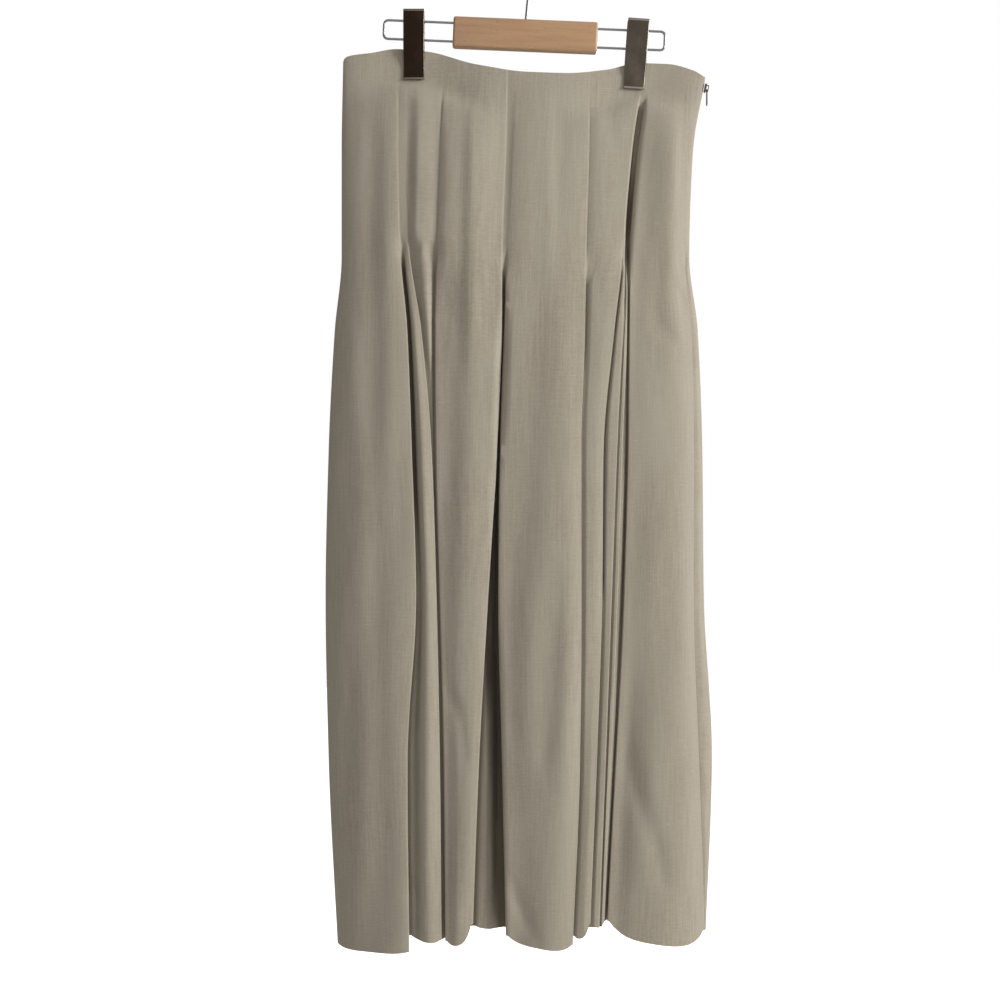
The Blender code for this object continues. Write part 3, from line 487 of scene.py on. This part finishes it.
def panelPoints(pair, start, end, section, bow):
    # Between two folds: the yoke's relief above the release, a swelling panel below
    drop = section["drop"]
    leftEdge, rightEdge = (atLevel(fold[2:10], drop) for fold in pair)
    first, last, middle = start[0], end[0], (leftEdge + rightEdge) / 2
    if pair[0][1] == "over":
        clear = min(leftEdge + cloth["edgeClear"],
                    middle - 2 if pair[1][1] == "under" else (leftEdge + end[0]) / 2)
        shut = start[0] + (end[0] - start[0]) * cloth["shutShare"]
        first = shut + (clear - shut) * start[4]
    if pair[1][1] == "under":
        clear = max(rightEdge - cloth["edgeClear"], middle + 2)
        shut = end[0] - (end[0] - start[0]) * cloth["shutShare"]
        last = shut + (clear - shut) * end[4]
    shape = section["panels"].get(pair[0][0], {})
    skew = shape.get("skew", cloth["swellSkew"])
    broad = skew > 0 and max(b - a for a, b in zip(pair[0][2:10], pair[1][2:10])) > cloth["broad"]
    rise = shape.get("rise", (0, 0.18) if pair[0][1] == pair[1][1] == "over" else (0, 0.45))
    count = cloth["panelPoints"] if broad else cloth["panelPoints"] // 3
    sunk = (start[3] + end[3]) / 2
    startOffset = start[1] - formDepth(section, start[0])
    endOffset = end[1] - formDepth(section, end[0])
    stops = ([0.0] if first != start[0] else []) + [(k + 1) / (count + 1) for k in range(count)]
    stops += [1.0] if last != end[0] else []
    points = []
    for t in stops:
        x = first + (last - first) * t
        offset = startOffset + (endOffset - startOffset) * ease(t, 0, 1 if rise[1] > 0.4 else 0.35)
        if broad:
            risen = startOffset * (1 - ease(t, *rise)) + endOffset * ease(t, *cloth["endRises"])
            crest = t ** skew
            swollen = cloth["swell"] * ease(drop, levels["release"], levels["shin"])
            risen += (last - first) * swollen * 4 * crest * (1 - crest)
            offset += (risen - offset) * ease(last - first, *cloth["broadFrom"])
        below, above = formDepth(section, x) + offset, yokeDepth(section, x)
        lift = start[2] + (end[2] - start[2]) * t ** (4 if end[2] - start[2] > 8 else 1)
        lift -= bow * (1 - (2 * t - 1) ** 4)
        points.append((x, above + (below - above) * sunk, lift, 1 - (start[4] + end[4]) / 2))
    return points


def sidePoints(side, fold, sideLift, section, bow):
    # From a side seam round to the first or last fold
    span, points = fold[0] - side, []
    steps = cloth["sidePoints"] + (4 if abs(span) > 30 else 0)
    for index in range(steps):
        t = index / steps
        x = side + span * (1 - math.cos(t * math.pi / 2)) ** cloth["sideTurn"]
        form = formDepth(section, x)
        above = form + (max(yokeDepth(section, x), 0) - form) * ease(t, *cloth["sideYoke"])
        below = form + (fold[1] - formDepth(section, fold[0])) * ease(t, *cloth["endRises"])
        lift = sideLift + (fold[2] - sideLift) * t - bow * (1 - (2 * (x - side) / span - 1) ** 4)
        points.append((x, above + (below - above) * fold[3], lift, 0))
    return points


def wallPath(piece, drop):
    section = sectionAt(piece, drop)
    groups = []
    for fold in piece["folds"]:
        edge, lift, opens = atLevel(fold[2:10], drop), fold[14], fold[15]
        apart, sunk = easeFrom(drop, opens, "parts"), easeFrom(drop, opens, "leaves")
        sinks = piece["sinks"].get(fold[0], (0, 1))
        opened, group = foldPoints(fold, drop, piece["tight"].get(fold[0], 1.0), sinks), []
        for index, (xOpen, offset) in enumerate(opened):
            along = index / (len(opened) - 1)
            xShut = edge + cloth["seamWide"] * (along - 0.5)
            x = xShut + (xOpen - xShut) * apart
            shut = yokeDepth(section, xShut)
            inside = along if fold[1] == "over" else 1 - along
            higher = lift + piece["innerLifts"].get(fold[0], 0) * ease(inside, 0.25, 0.75)
            group.append((x, shut + (formDepth(section, x) + offset - shut) * sunk, higher, sunk, apart))
        groups.append(group)
    bows = piece["bows"]
    path = sidePoints(section["left"], groups[0][0], cloth["sideLifts"][0], section, bows[0])
    for number, group in enumerate(groups):
        path += [(x, depth, lift, 1 - apart) for x, depth, lift, _, apart in group]
        if number + 1 < len(groups):
            pair = piece["folds"][number], piece["folds"][number + 1]
            path += panelPoints(pair, group[-1], groups[number + 1][0], section, bows[number + 1])
    path += sidePoints(section["right"], groups[-1][-1], cloth["sideLifts"][1], section, bows[-1])[::-1]
    path = np.array(path)
    loose = path[1:-1, 3:4] / 2          # evens out the path where folds are shut or only just open
    for _ in range(cloth["soothing"]):
        mean = (path[:-2, :2] + path[2:, :2]) / 2
        path[1:-1, :2] += (mean - path[1:-1, :2]) * loose
    return path[:, :3]


def clipHold(x, drop):
    # One where a clip presses the two walls together, falling to zero round it
    below = 1 - ease(drop - edgeDrop(x), *(clipGrip["reach"] + fade for fade in clipGrip["belowFade"]))
    start, end = clipGrip["besideFade"]
    most = np.zeros_like(x)
    for clip in clipPlaces.values():
        beside = 1 - ease(np.abs(x - clip["x"]), clipGrip["wide"] / 2 + start, end)
        most = np.maximum(most, beside * below)
    return most


def creaseRelief(piece, x, drop):
    # Listed creases, then slow ripples from a few seeded waves
    total = np.zeros_like(x)
    for x0, drop0, x1, drop1, half, deep in piece["creases"]:
        dx, dd = x1 - x0, drop1 - drop0
        t = np.clip(((x - x0) * dx + (drop - drop0) * dd) / (dx * dx + dd * dd), 0, 1)
        away = np.hypot(x - x0 - dx * t, (drop - drop0 - dd * t) * 0.6)
        fade = 0.35 + 0.65 * np.sin(math.pi * np.clip(t, 0.06, 0.94))
        total += deep * np.exp(-(away / half) ** 2) * fade
    chance = np.random.default_rng(piece["seed"])
    grown = ripples["atTop"] + (1 - ripples["atTop"]) * ease(drop, levels["yoke"], levels["calf"])
    for _ in range(ripples["count"]):
        wide, long = chance.uniform(*ripples["wide"]), chance.uniform(*ripples["long"])
        turn = chance.uniform(0, 2 * math.pi)
        sway = chance.uniform(*ripples["sway"]) * np.sin(drop / chance.uniform(*ripples["swayLong"]) + turn)
        total += ripples["high"] * np.sin(2 * math.pi * ((x + sway) / wide + drop / long) + turn) * grown
    return total


def seamRelief(piece, x, drop):
    # Each stitched pleat laps over its neighbour by one thickness of cloth, down to its release
    total = np.zeros_like(x)
    for fold in piece["folds"]:
        atWaist, atRelease = piece["laps"].get(fold[0], (0.0, 0.0))
        past = (x - atLevel(fold[2:10], drop)) * (1 if fold[1] == "over" else -1)
        on, beyond = (np.exp(-(past / reach) ** 2) for reach in cloth["lapReach"])
        lap = np.where(np.abs(past) < 0.5, 0.0, np.where(past < 0, -on, beyond))
        strength = atWaist + (atRelease - atWaist) * ease(drop, levels["yoke"], levels["release"])
        total += lap * strength * (1 - easeFrom(drop, fold[15], "lapEnds"))
    for name, away, half, deep, opens, opened, closes, shut in piece["gaps"]:
        fold = next(f for f in piece["folds"] if f[0] == name)
        beside = np.exp(-((x - atLevel(fold[2:10], drop) - away) / half) ** 4)
        total += deep * beside * ease(drop, opens, opened) * (1 - ease(drop, closes, shut))
    return total


def rollRelief(piece, x, drop):
    # Soft rolls that hang from the waist and fade below the release
    total = np.zeros_like(x)
    if not piece["rolls"]:
        return total
    atWaist, atRelease, out, gone = (np.array(column) for column in zip(*piece["rolls"]))
    down = (drop[:, 0] - levels["waist"]) / (levels["release"] - levels["waist"])
    for row, share in enumerate(np.clip(down, 0, 1.3)):
        knots = atWaist + (atRelease - atWaist) * share
        heights = out * (1 - ease(drop[row, 0], levels["release"] + cloth["rollFades"], gone))
        total[row] = glide(knots, heights, np.clip(x[row], knots[0], knots[-1]))
    return total * ease(drop, levels["waist"] + 8, levels["yoke"] + 20)


def rowDrops():
    drops = []
    for start, end, step in cloth["rowSteps"]:
        drops += list(np.linspace(start, end, max(int(round((end - start) / step)), 1), endpoint=False))
    return drops + [levels["hem"]]


def clothGrid(piece):
    # The cloth's middle surface as (x, depth, drop) in millimetres, row by row
    drops = rowDrops()
    paths = np.array([wallPath(piece, drop) for drop in drops])
    x, depth, lift = paths[..., 0], paths[..., 1].copy(), paths[..., 2]
    drop = np.repeat(np.array(drops)[:, None], x.shape[1], axis=1)
    below = realDrop(x, drop)
    held = clipHold(x, below)
    fromSide = np.minimum(x - x[:, :1], x[:, -1:] - x)
    room = ease(depth, *cloth["reliefDepth"]) * (1 - held) * ease(fromSide, *cloth["reliefSide"])
    depth -= (creaseRelief(piece, x, drop) + seamRelief(piece, x, drop) - rollRelief(piece, x, drop)) * room
    depth += (clipGrip["hold"] - depth) * held
    depth = np.maximum(depth, clipGrip["hold"] * ease(fromSide, 0, 2))
    depth[:, [0, -1]] = cloth["gap"] / 2
    below = below + (cloth["hemDrop"] - levels["hem"] - lift) * ease(drop, cloth["hemStart"], levels["hem"])
    return x, depth, below


def paintedFoldShadeShare(piece, x, depth):
    # Share of the painted shade: one deep inside a fold, zero on the outer faces: how far the highest cloth
    # close by stands above, without the plain form's own curve, which falls away to the side seams
    across = 2 * (x - x[:, :1]) / (x[:, -1:] - x[:, :1]) - 1
    deepest = atLevel(piece["depths"], rowDrops())
    form = deepest[:, None] * np.sqrt(np.maximum(1 - np.abs(across) ** cloth["formPower"], 0))
    share = np.zeros_like(x)
    for row, (across, out) in enumerate(zip(x, depth - form)):
        apart = across[None, :] - across[:, None]
        beyond = np.maximum(np.maximum(-shade["left"] - apart, apart - shade["right"]), 0.0)
        share[row] = (out[None, :] - shade["fade"] * beyond).max(axis=1) - out
    return np.clip((share - shade["from"]) / (shade["to"] - shade["from"]), 0, 1)


def unit(vectors):
    return vectors / np.maximum(np.linalg.norm(vectors, axis=-1, keepdims=True), 1e-9)


def clothShell(piece, finish, replaced):
    x, depth, drop = clothGrid(piece)
    points = np.stack([x, -piece["facing"] * depth, -drop], axis=-1) * mm
    step = unit(np.diff(points[..., :2], axis=1))
    along = np.zeros_like(points[..., :2])
    along[:, :-1] += step
    along[:, 1:] += step
    along[:, 0] = (0, -piece["facing"])
    along[:, -1] = (0, piece["facing"])
    along = unit(along)
    normal = np.stack([along[..., 1], -along[..., 0], np.zeros_like(x)], axis=-1) * piece["facing"]
    half = cloth["thick"] * mm / 2
    hem = (drop[-1] - drop) < cloth["hemTurn"]
    inside = half + cloth["hemThick"] * mm * hem
    outer, inner = points + normal * half, points - normal * inside[..., None]

    high, wide = x.shape
    index = np.arange(high * wide).reshape(high, wide)
    a, b, c, d = index[:-1, :-1], index[1:, :-1], index[1:, 1:], index[:-1, 1:]
    front = np.stack([a, b, c, d], axis=-1).reshape(-1, 4)
    behind = front[:, ::-1] + high * wide
    rims = []
    for line, flip in ((index[0], False), (index[-1], True), (index[:, 0], True), (index[:, -1], False)):
        rim = np.stack([line[:-1], line[1:], line[1:] + high * wide, line[:-1] + high * wide], axis=-1)
        rims.append(rim[:, ::-1] if flip else rim)
    faces = np.concatenate([front, behind] + rims)
    if piece["facing"] == -1:
        faces = faces[:, ::-1]
    mesh = bpy.data.meshes.new(piece["name"])
    spots = np.concatenate([outer.reshape(-1, 3), inner.reshape(-1, 3)])
    mesh.from_pydata(spots.tolist(), [], faces.tolist())

    # Map that follows the cloth's own grain: across at the hem, down along each fold
    across = np.concatenate([[0], np.cumsum(np.linalg.norm(np.diff(points[-1, :, :2], axis=0), axis=1))])
    u = np.tile(across, (high, 1)).reshape(-1)
    v = (drop * mm).reshape(-1)
    both = np.concatenate([np.stack([u, v], -1), np.stack([u + 3, v], -1)])
    layer = mesh.uv_layers.new(name="clothMap")
    corner = np.zeros(len(mesh.loops), np.int32)
    mesh.loops.foreach_get("vertex_index", corner)
    layer.data.foreach_set("uv", both[corner].astype(np.float32).ravel())
    # Painted shade: this share darkens the cloth's colour deep inside its folds
    paintedFoldShade = paintedFoldShadeShare(piece, x, depth).reshape(-1)
    mesh.attributes.new("paintedFoldShade", "FLOAT", "POINT").data.foreach_set(
        "value", np.concatenate([paintedFoldShade, paintedFoldShade]).astype(np.float32))
    mesh.shade_smooth()
    mesh.set_sharp_from_angle(angle=math.radians(cloth["creaseAngle"]))
    mesh.validate()
    print(piece["name"], "triangles", 4 * len(front))
    return keepPiece(piece["name"], mesh, finish, replaced)


skirtFront = clothShell(frontCloth, frontLinen, ["skirt_front"])
skirtBack = clothShell(backCloth, backLinen, ["skirt_back"])
print("cloth made")


# Geometry Nodes trees: what follows a path or repeats

def newTree(name, inputs):
    tree = bpy.data.node_groups.new(name, "GeometryNodeTree")
    tree.interface.new_socket("Geometry", in_out="INPUT", socket_type="NodeSocketGeometry")
    for label, kind in inputs:
        tree.interface.new_socket(label, in_out="INPUT", socket_type="NodeSocket" + kind)
    tree.interface.new_socket("Material", in_out="INPUT", socket_type="NodeSocketMaterial")
    tree.interface.new_socket("Geometry", in_out="OUTPUT", socket_type="NodeSocketGeometry")
    return tree, tree.nodes.new("NodeGroupInput")


def endTree(tree, start, shape):
    whole = addNode(tree, "GeometryNodeRealizeInstances", {}, {0: shape})
    smooth = addNode(tree, "GeometryNodeSetShadeSmooth", {}, {0: whole})
    coloured = addNode(tree, "GeometryNodeSetMaterial", {}, {
        "Geometry": smooth, "Material": start.outputs["Material"]})
    addNode(tree, "NodeGroupOutput", {}, {"Geometry": coloured})


def runTree(tree, points, values):
    # Feeds a line of points in millimetres to a tree and returns the plain mesh that it makes
    line = bpy.data.meshes.new(tree.name)
    spots = [Vector(p) * mm for p in points] or [Vector()]
    line.from_pydata(spots, [(k, k + 1) for k in range(len(spots) - 1)], [])
    holder = bpy.data.objects.new(tree.name, line)
    bpy.context.scene.collection.objects.link(holder)
    modifier = holder.modifiers.new("nodes", "NODES")
    modifier.node_group = tree
    for item in tree.interface.items_tree:
        if item.item_type == "SOCKET" and item.in_out == "INPUT" and item.name in values:
            modifier[item.identifier] = values[item.name]
    graph = bpy.context.evaluated_depsgraph_get()
    made = bpy.data.meshes.new_from_object(holder.evaluated_get(graph), depsgraph=graph)
    holder.modifiers.remove(modifier)
    bpy.data.objects.remove(holder, do_unlink=True)
    return made


def endTube(tree, start, curve):
    # Sweeps a ring along the curve and ends the tree
    ring = addNode(tree, "GeometryNodeCurvePrimitiveCircle", {}, {
        "Resolution": start.outputs["Sides"], "Radius": start.outputs["Radius"]})
    tube = addNode(tree, "GeometryNodeCurveToMesh", {"Fill Caps": True}, {
        "Curve": curve, "Profile Curve": ring})
    endTree(tree, start, tube)
    return tree


def wireTree():
    tree, start = newTree("sweptWire", [("Radius", "Float"), ("Sides", "Int")])
    curve = addNode(tree, "GeometryNodeMeshToCurve", {}, {0: start.outputs["Geometry"]})
    return endTube(tree, start, curve)


def springTree():
    tree, start = newTree("coilSpring", [
        ("Turns", "Float"), ("Coil Radius", "Float"), ("Length", "Float"), ("Steps", "Int"),
        ("Radius", "Float"), ("Sides", "Int")])
    coil = addNode(tree, "GeometryNodeCurveSpiral", {}, {
        "Resolution": start.outputs["Steps"], "Rotations": start.outputs["Turns"],
        "Start Radius": start.outputs["Coil Radius"], "End Radius": start.outputs["Coil Radius"],
        "Height": start.outputs["Length"]})
    return endTube(tree, start, coil)


def teethTree():
    tree, start = newTree("zipTeeth", [
        ("Pitch", "Float"), ("Tooth Long", "Float"), ("Tooth Radius", "Float")])
    curve = addNode(tree, "GeometryNodeMeshToCurve", {}, {0: start.outputs["Geometry"]})
    spots = addNode(tree, "GeometryNodeResampleCurve", {"mode": "LENGTH"}, {"Curve": curve})
    tree.links.new(start.outputs["Pitch"], spots.inputs["Length"])
    tooth = addNode(tree, "GeometryNodeMeshCylinder", {"Vertices": 10}, {
        "Radius": start.outputs["Tooth Radius"], "Depth": start.outputs["Tooth Long"]})
    placed = addNode(tree, "GeometryNodeInstanceOnPoints", {"Rotation": (0, math.radians(90), 0)}, {
        "Points": spots, "Instance": tooth})
    endTree(tree, start, placed)
    return tree


# Hanger finishes

beech = {"light": "#b48d68", "dark": "#95714f", "fleck": "#7f5e40", "tiltDegrees": 2.4,
         # Along and across the grain in mm, span of the noise, most, detail
         "grain": (60, 5.28, (0.35, 0.68), 0.5, 4), "flecks": (3.2, 0.9, (0.66, 0.76), 0.55, 1)}


def beechFinish():
    # Steamed beech under a clear satin lacquer: straight fine grain with the short dark flecks of beech
    finish, tree, shader = newFinish("lacquered beech", beech["light"], {
        "Roughness": 0.42, "IOR": 1.5, "Coat Weight": 0.25, "Coat Roughness": 0.3})
    place = addNode(tree, "ShaderNodeTexCoord")
    turned = addNode(tree, "ShaderNodeMapping", {
        "Rotation": (0, -math.radians(beech["tiltDegrees"]), 0)}, {"Vector": place.outputs["Object"]})

    streaks = []
    for key in ("grain", "flecks"):
        long, across, span, most, detail = beech[key]
        streaks.append(patternAt(tree, turned, (long, across, across), span, {
            "Detail": detail, "Distortion": 0.3}, (0, most)))
    grain, flecks = streaks
    first = addNode(tree, "ShaderNodeMix", {
        "data_type": "RGBA", 6: toLinear(beech["light"]), 7: toLinear(beech["dark"])}, {0: grain})
    second = addNode(tree, "ShaderNodeMix", {"data_type": "RGBA", 7: toLinear(beech["fleck"])}, {
        0: flecks, 6: first.outputs[2]})
    tree.links.new(second.outputs[2], shader.inputs["Base Color"])
    bump = addNode(tree, "ShaderNodeBump", {"Strength": 0.3, "Distance": 0.0001}, {"Height": grain})
    tree.links.new(bump.outputs[0], shader.inputs["Normal"])
    return finish


def metalFinish(name, colour, roughness, brushMm):
    # Nickel-plated steel: bright, with fine drawing marks that spread its reflections
    finish, tree, shader = newFinish(name, colour, {"Metallic": 1.0})
    place = addNode(tree, "ShaderNodeTexCoord")
    rough = patternAt(tree, place.outputs["Object"], (brushMm,) * 3, (0, 1), {"Detail": 3},
                      (roughness - 0.08, roughness + 0.12))
    tree.links.new(rough.outputs[0], shader.inputs["Roughness"])
    return finish


lacquer = {"cloudMm": 26, "cloudSpan": (0.42, 0.72), "fineMm": 0.8, "reliefMm": 0.05}


def lacquerFinish(name, colour, worn, roughness, gloss):
    # Stamped steel under dark bronze lacquer, a little paler where it has rubbed
    finish, tree, shader = newFinish(name, colour, {
        "Roughness": roughness, "IOR": 1.5, "Specular IOR Level": gloss})
    place = addNode(tree, "ShaderNodeTexCoord").outputs["Object"]
    rubbed = patternAt(tree, place, (lacquer["cloudMm"],) * 3, lacquer["cloudSpan"], {
        "Detail": 5, "Roughness": 0.6})
    tone = addNode(tree, "ShaderNodeMix", {
        "data_type": "RGBA", 6: toLinear(colour), 7: toLinear(worn)}, {0: rubbed})
    tree.links.new(tone.outputs[2], shader.inputs["Base Color"])
    fine = patternAt(tree, place, (lacquer["fineMm"],) * 3, (0, 1), {"Detail": 2})
    bump = addNode(tree, "ShaderNodeBump", {"Strength": 0.15, "Distance": lacquer["reliefMm"] * mm},
                   {"Height": fine})
    tree.links.new(bump.outputs[0], shader.inputs["Normal"])
    return finish


beechWood = beechFinish()
# Bare metal on the clips' lips and rounded corners: partly worn edges, partly a painted highlight where the
# edges catch the light; the right clip's is painted paler still, as it is lit more
wornEdgeAndHighlight = metalFinish("bare steel edge, worn and painted as highlight", "#857a6c", 0.42, 1.5)
wornEdgeAndHighlightLit = metalFinish("rubbed edge of grey bronze steel", "#9d9488", 0.42, 1.5)
plated = metalFinish("nickel-plated steel wire", "#8f9092", 0.32, 1.2)
springSteel = metalFinish("blued spring steel", "#56565a", 0.38, 0.8)
darkLacquer = lacquerFinish("dark bronze lacquer", "#23150a", "#302012", 0.5, 0.12)
# The right clip's lacquer is painted lighter and greyer than the left clip's, because more light falls on
# that clip
paintedLitLacquer = lacquerFinish("bronze lacquer, painted lighter where lit", "#423a2f", "#5a5145", 0.42, 0.3)
zincPlate = metalFinish("nickel-plated zinc", "#6f6a62", 0.36, 0.9)
print("finishes ready")


# Hanger: bar, two wire loops, hook

hanger = {"tilt": math.radians(2.4), "middle": (-2.2, 80.6), "wire": 2.4,
          "bar": (144.5, 12, 30.5), "corner": 2.4, "into": 3,
          "loopPitch": 18.6, "loopRise": 0.3, "loopEnds": (-141.5, 139.5), "loopBend": 5,
          "hookWire": 3, "hookRadius": 19, "hookNeck": 5, "hookOffset": 0.6, "hookFrom": -78, "hookTo": 215}
barPlace = (Matrix.Translation((hanger["middle"][0] * mm, 0, -hanger["middle"][1] * mm))
            @ Matrix.Rotation(hanger["tilt"], 4, "Y"))
wires = wireTree()


def barMesh():
    long, thick, high = (size * mm for size in hanger["bar"])
    build = bmesh.new()
    bmesh.ops.create_cube(build, size=1)
    bmesh.ops.scale(build, vec=(long, thick, high), verts=build.verts[:])
    bmesh.ops.bevel(build, geom=build.edges[:], offset=hanger["corner"] * mm, segments=5, affect="EDGES",
                    profile=0.5)
    bmesh.ops.transform(build, matrix=barPlace, verts=build.verts[:])
    return meshFrom(build, sharpDegrees=50)


def bend(corner, before, after, radius, steps=10):
    corner, before, after = (Vector((p[0], 0, p[1])) for p in (corner, before, after))
    enter = corner + (before - corner).normalized() * radius
    leave = corner + (after - corner).normalized() * radius
    spots = []
    for index in range(steps + 1):
        t = index / steps
        spots.append(enter * (1 - t) ** 2 + corner * 2 * t * (1 - t) + leave * t * t)
    return spots


def loopMesh(end):
    near = math.copysign(hanger["bar"][0] / 2 - hanger["into"], end)
    top = (end, hanger["loopPitch"] / 2 + hanger["loopRise"])
    low = (end, -hanger["loopPitch"] / 2 + hanger["loopRise"])
    spots = [(near, 0, top[1])] + bend(top, (near, top[1]), low, hanger["loopBend"])
    spots += bend(low, top, (near, low[1]), hanger["loopBend"]) + [(near, 0, low[1])]
    mesh = runTree(wires, spots, {"Radius": hanger["wire"] * mm / 2, "Sides": 16, "Material": plated})
    mesh.transform(barPlace)
    return mesh


def hookMesh():
    foot, up = Vector((hanger["middle"][0], -hanger["middle"][1])), Vector(
        (math.sin(hanger["tilt"]), math.cos(hanger["tilt"])))
    start = foot + up * (hanger["bar"][2] / 2 - hanger["into"])
    middle, radius = -hanger["hookRadius"], hanger["hookRadius"] + hanger["hookWire"] / 2
    top = Vector((hanger["hookOffset"], middle - radius - hanger["hookNeck"]))
    spots = [(start.lerp(top, k / 6).x, 0, start.lerp(top, k / 6).y) for k in range(7)]
    for angle in np.radians(np.linspace(hanger["hookFrom"], hanger["hookTo"], 70)):
        spots.append((radius * math.cos(angle), 0, middle + radius * math.sin(angle)))
    return runTree(wires, spots, {"Radius": hanger["hookWire"] * mm / 2, "Sides": 20, "Material": plated})


keepPiece("hangerBar", barMesh(), beechWood, ["hanger_bar"])
for side, end in zip(("left", "right"), hanger["loopEnds"]):
    keepPiece("hangerLoop" + side.title(), loopMesh(end), None, ["hanger_loop_" + side])
keepPiece("hangerHook", hookMesh(), None, ["hanger_hook"])


# Clips: two channel-shaped jaws and a coil spring each

clipJaw = {
    "half": 10.5, "sheet": 1.2, "corner": 0.9,
    # height along the jaw, depth of its plate's inner face, depth that its side flanges reach in to
    "stations": [(-49.5, 3.2, 3.2), (-48.8, 2.6, 2.6), (-47.2, 1.95, 1.95), (-38, 1.95, 1.95),
                 (-35, 2.3, 1.9), (-30, 3.4, 1.8), (-24, 5.2, 1.8), (-18, 6.5, 1.8), (-13, 7.05, 1.8),
                 (-6, 7.1, 1.8), (4, 7.1, 1.8), (14, 7.1, 1.8), (17.2, 7.0, 2.0), (17.8, 6.7, 2.0),
                 (20.1, 5.2, 3.0), (20.5, 4.6, 3.4)],
    "lipAbove": 17.5, "lipBelow": -47.9,
    "lip": 1.1, "lipClear": 0.04, "cornerSlope": 0.3, "cornerTurns": (0, 22, 45, 68, 90),
    "spring": {"turns": 9.0, "radius": 5.3, "length": 16, "wire": 0.62, "steps": 26, "sides": 10},
}
springs = springTree()


def jawMesh(facing, place, finishes):
    build, rings = bmesh.new(), []
    half, sheet, corner = clipJaw["half"], clipJaw["sheet"], clipJaw["corner"]
    for height, inside, flange in clipJaw["stations"]:
        outside, flange = inside + sheet, min(flange, inside - clipJaw["lipClear"])
        turn = [(half - corner + corner * math.sin(a), outside - corner + corner * math.cos(a))
                for a in np.radians(clipJaw["cornerTurns"])]
        within = half - clipJaw["lip"]
        ring = [(-half, flange)] + [(-x, d) for x, d in turn[::-1]] + turn + [
            (half, flange), (within, flange), (within, inside), (-within, inside), (-within, flange)]
        rings.append([build.verts.new((x * mm, -facing * d * mm, height * mm)) for x, d in ring])
    skinRings(build, rings)
    # The lips and rounded corners take the second finish: bare metal, partly wear and partly a painted
    # highlight along the edges
    for face in build.faces:
        spot = face.calc_center_median() / mm
        rubbed = spot.z > clipJaw["lipAbove"] or spot.z < clipJaw["lipBelow"]
        onCorner = min(abs(face.normal.x), abs(face.normal.y)) > clipJaw["cornerSlope"]
        face.material_index = int(rubbed or onCorner)
    bmesh.ops.transform(build, matrix=place, verts=build.verts[:])
    mesh = meshFrom(build, sharpDegrees=38)
    for finish in finishes:
        mesh.materials.append(finish)
    return mesh


# The right clip takes the copies of both finishes that are painted lighter, as more light falls on it
for side, finishes in (("left", (darkLacquer, wornEdgeAndHighlight)), ("right", (paintedLitLacquer, wornEdgeAndHighlightLit))):
    clip = clipPlaces[side]
    seat = barPlace @ Matrix.Translation(((clip["x"] - hanger["middle"][0]) * mm, 0, 0))
    place = seat @ Matrix.Rotation(math.radians(clip["lean"]), 4, "Y")
    for face, facing in (("front", 1), ("back", -1)):
        jaw = jawMesh(facing, place, finishes)
        keepPiece("clip" + side.title() + face.title(), jaw, None, [f"clip_{side}_{face}"])
    size = clipJaw["spring"]
    coil = runTree(springs, [], {
        "Turns": size["turns"], "Coil Radius": size["radius"] * mm, "Length": size["length"] * mm,
        "Radius": size["wire"] * mm, "Steps": size["steps"], "Sides": size["sides"],
        "Material": springSteel})
    coil.transform(seat @ Matrix.Translation((-size["length"] / 2 * mm, 0, (
        hanger["loopRise"] - hanger["loopPitch"] / 2) * mm)) @ Matrix.Rotation(math.radians(90), 4, "Y"))
    keepPiece("clipSpring" + side.title(), coil, None, [f"clip_{side}_spring"])
print("hanger made")


# Concealed zip in the right side seam

zipper = {"wide": 5, "thick": 0.5, "long": 125, "start": 12, "inset": 3.3, "pitch": 2.1, "toothLong": 3.2,
          "toothRadius": 0.55, "steps": 40, "ribMm": 1.0, "reliefMm": 0.1}


def sideAt(drop):
    low, high = levels["waist"], levels["hem"]
    for _ in range(30):
        middle = (low + high) / 2
        low, high = (middle, high) if realDrop(atLevel(sides[1], middle), middle) < drop else (low, middle)
    return atLevel(sides[1], low)


def zipLine():
    start = float(realDrop(sides[1][0], levels["waist"])) + zipper["start"]
    drops = np.linspace(start, start + zipper["long"], zipper["steps"])
    return [(sideAt(drop) - zipper["inset"] - zipper["wide"] / 2, 0, -drop) for drop in drops]


def tapeFinish():
    # Woven polyester tape, dyed to the cloth: fine even ribs
    finish, tree, shader = newFinish("woven zip tape", "#8f8778", {"Roughness": 0.8, "IOR": 1.55})
    place = addNode(tree, "ShaderNodeTexCoord")
    ribs = addNode(tree, "ShaderNodeTexWave", {"bands_direction": "Z", "Scale": wavePeriod / zipper["ribMm"]},
                   {"Vector": place.outputs["Object"]})
    bump = addNode(tree, "ShaderNodeBump", {"Strength": 0.5, "Distance": zipper["reliefMm"] * mm},
                   {"Height": ribs.outputs[1]})
    tree.links.new(bump.outputs[0], shader.inputs["Normal"])
    return finish


def tapeMesh(line):
    build, rings = bmesh.new(), []
    half, thick = zipper["wide"] / 2, zipper["thick"] / 2
    for x, _, z in line:
        corners = ((x - half, -thick), (x + half, -thick), (x + half, thick), (x - half, thick))
        rings.append([build.verts.new((a * mm, b * mm, z * mm)) for a, b in corners])
    skinRings(build, rings)
    return meshFrom(build, sharpDegrees=30)


zipTape = tapeFinish()
line = zipLine()
keepPiece("zipTape", tapeMesh(line), zipTape, ["zip_chain"])
keepPiece("zipTeeth", runTree(teethTree(), line, {
    "Pitch": zipper["pitch"] * mm, "Tooth Long": zipper["toothLong"] * mm,
    "Tooth Radius": zipper["toothRadius"] * mm, "Material": zipTape}), None, [])
for name in ("zip_slider", "zip_pull"):
    node = frame["nodes"][name]
    node.data.materials.clear()
    node.data.materials.append(zincPlate)
print("zip made")
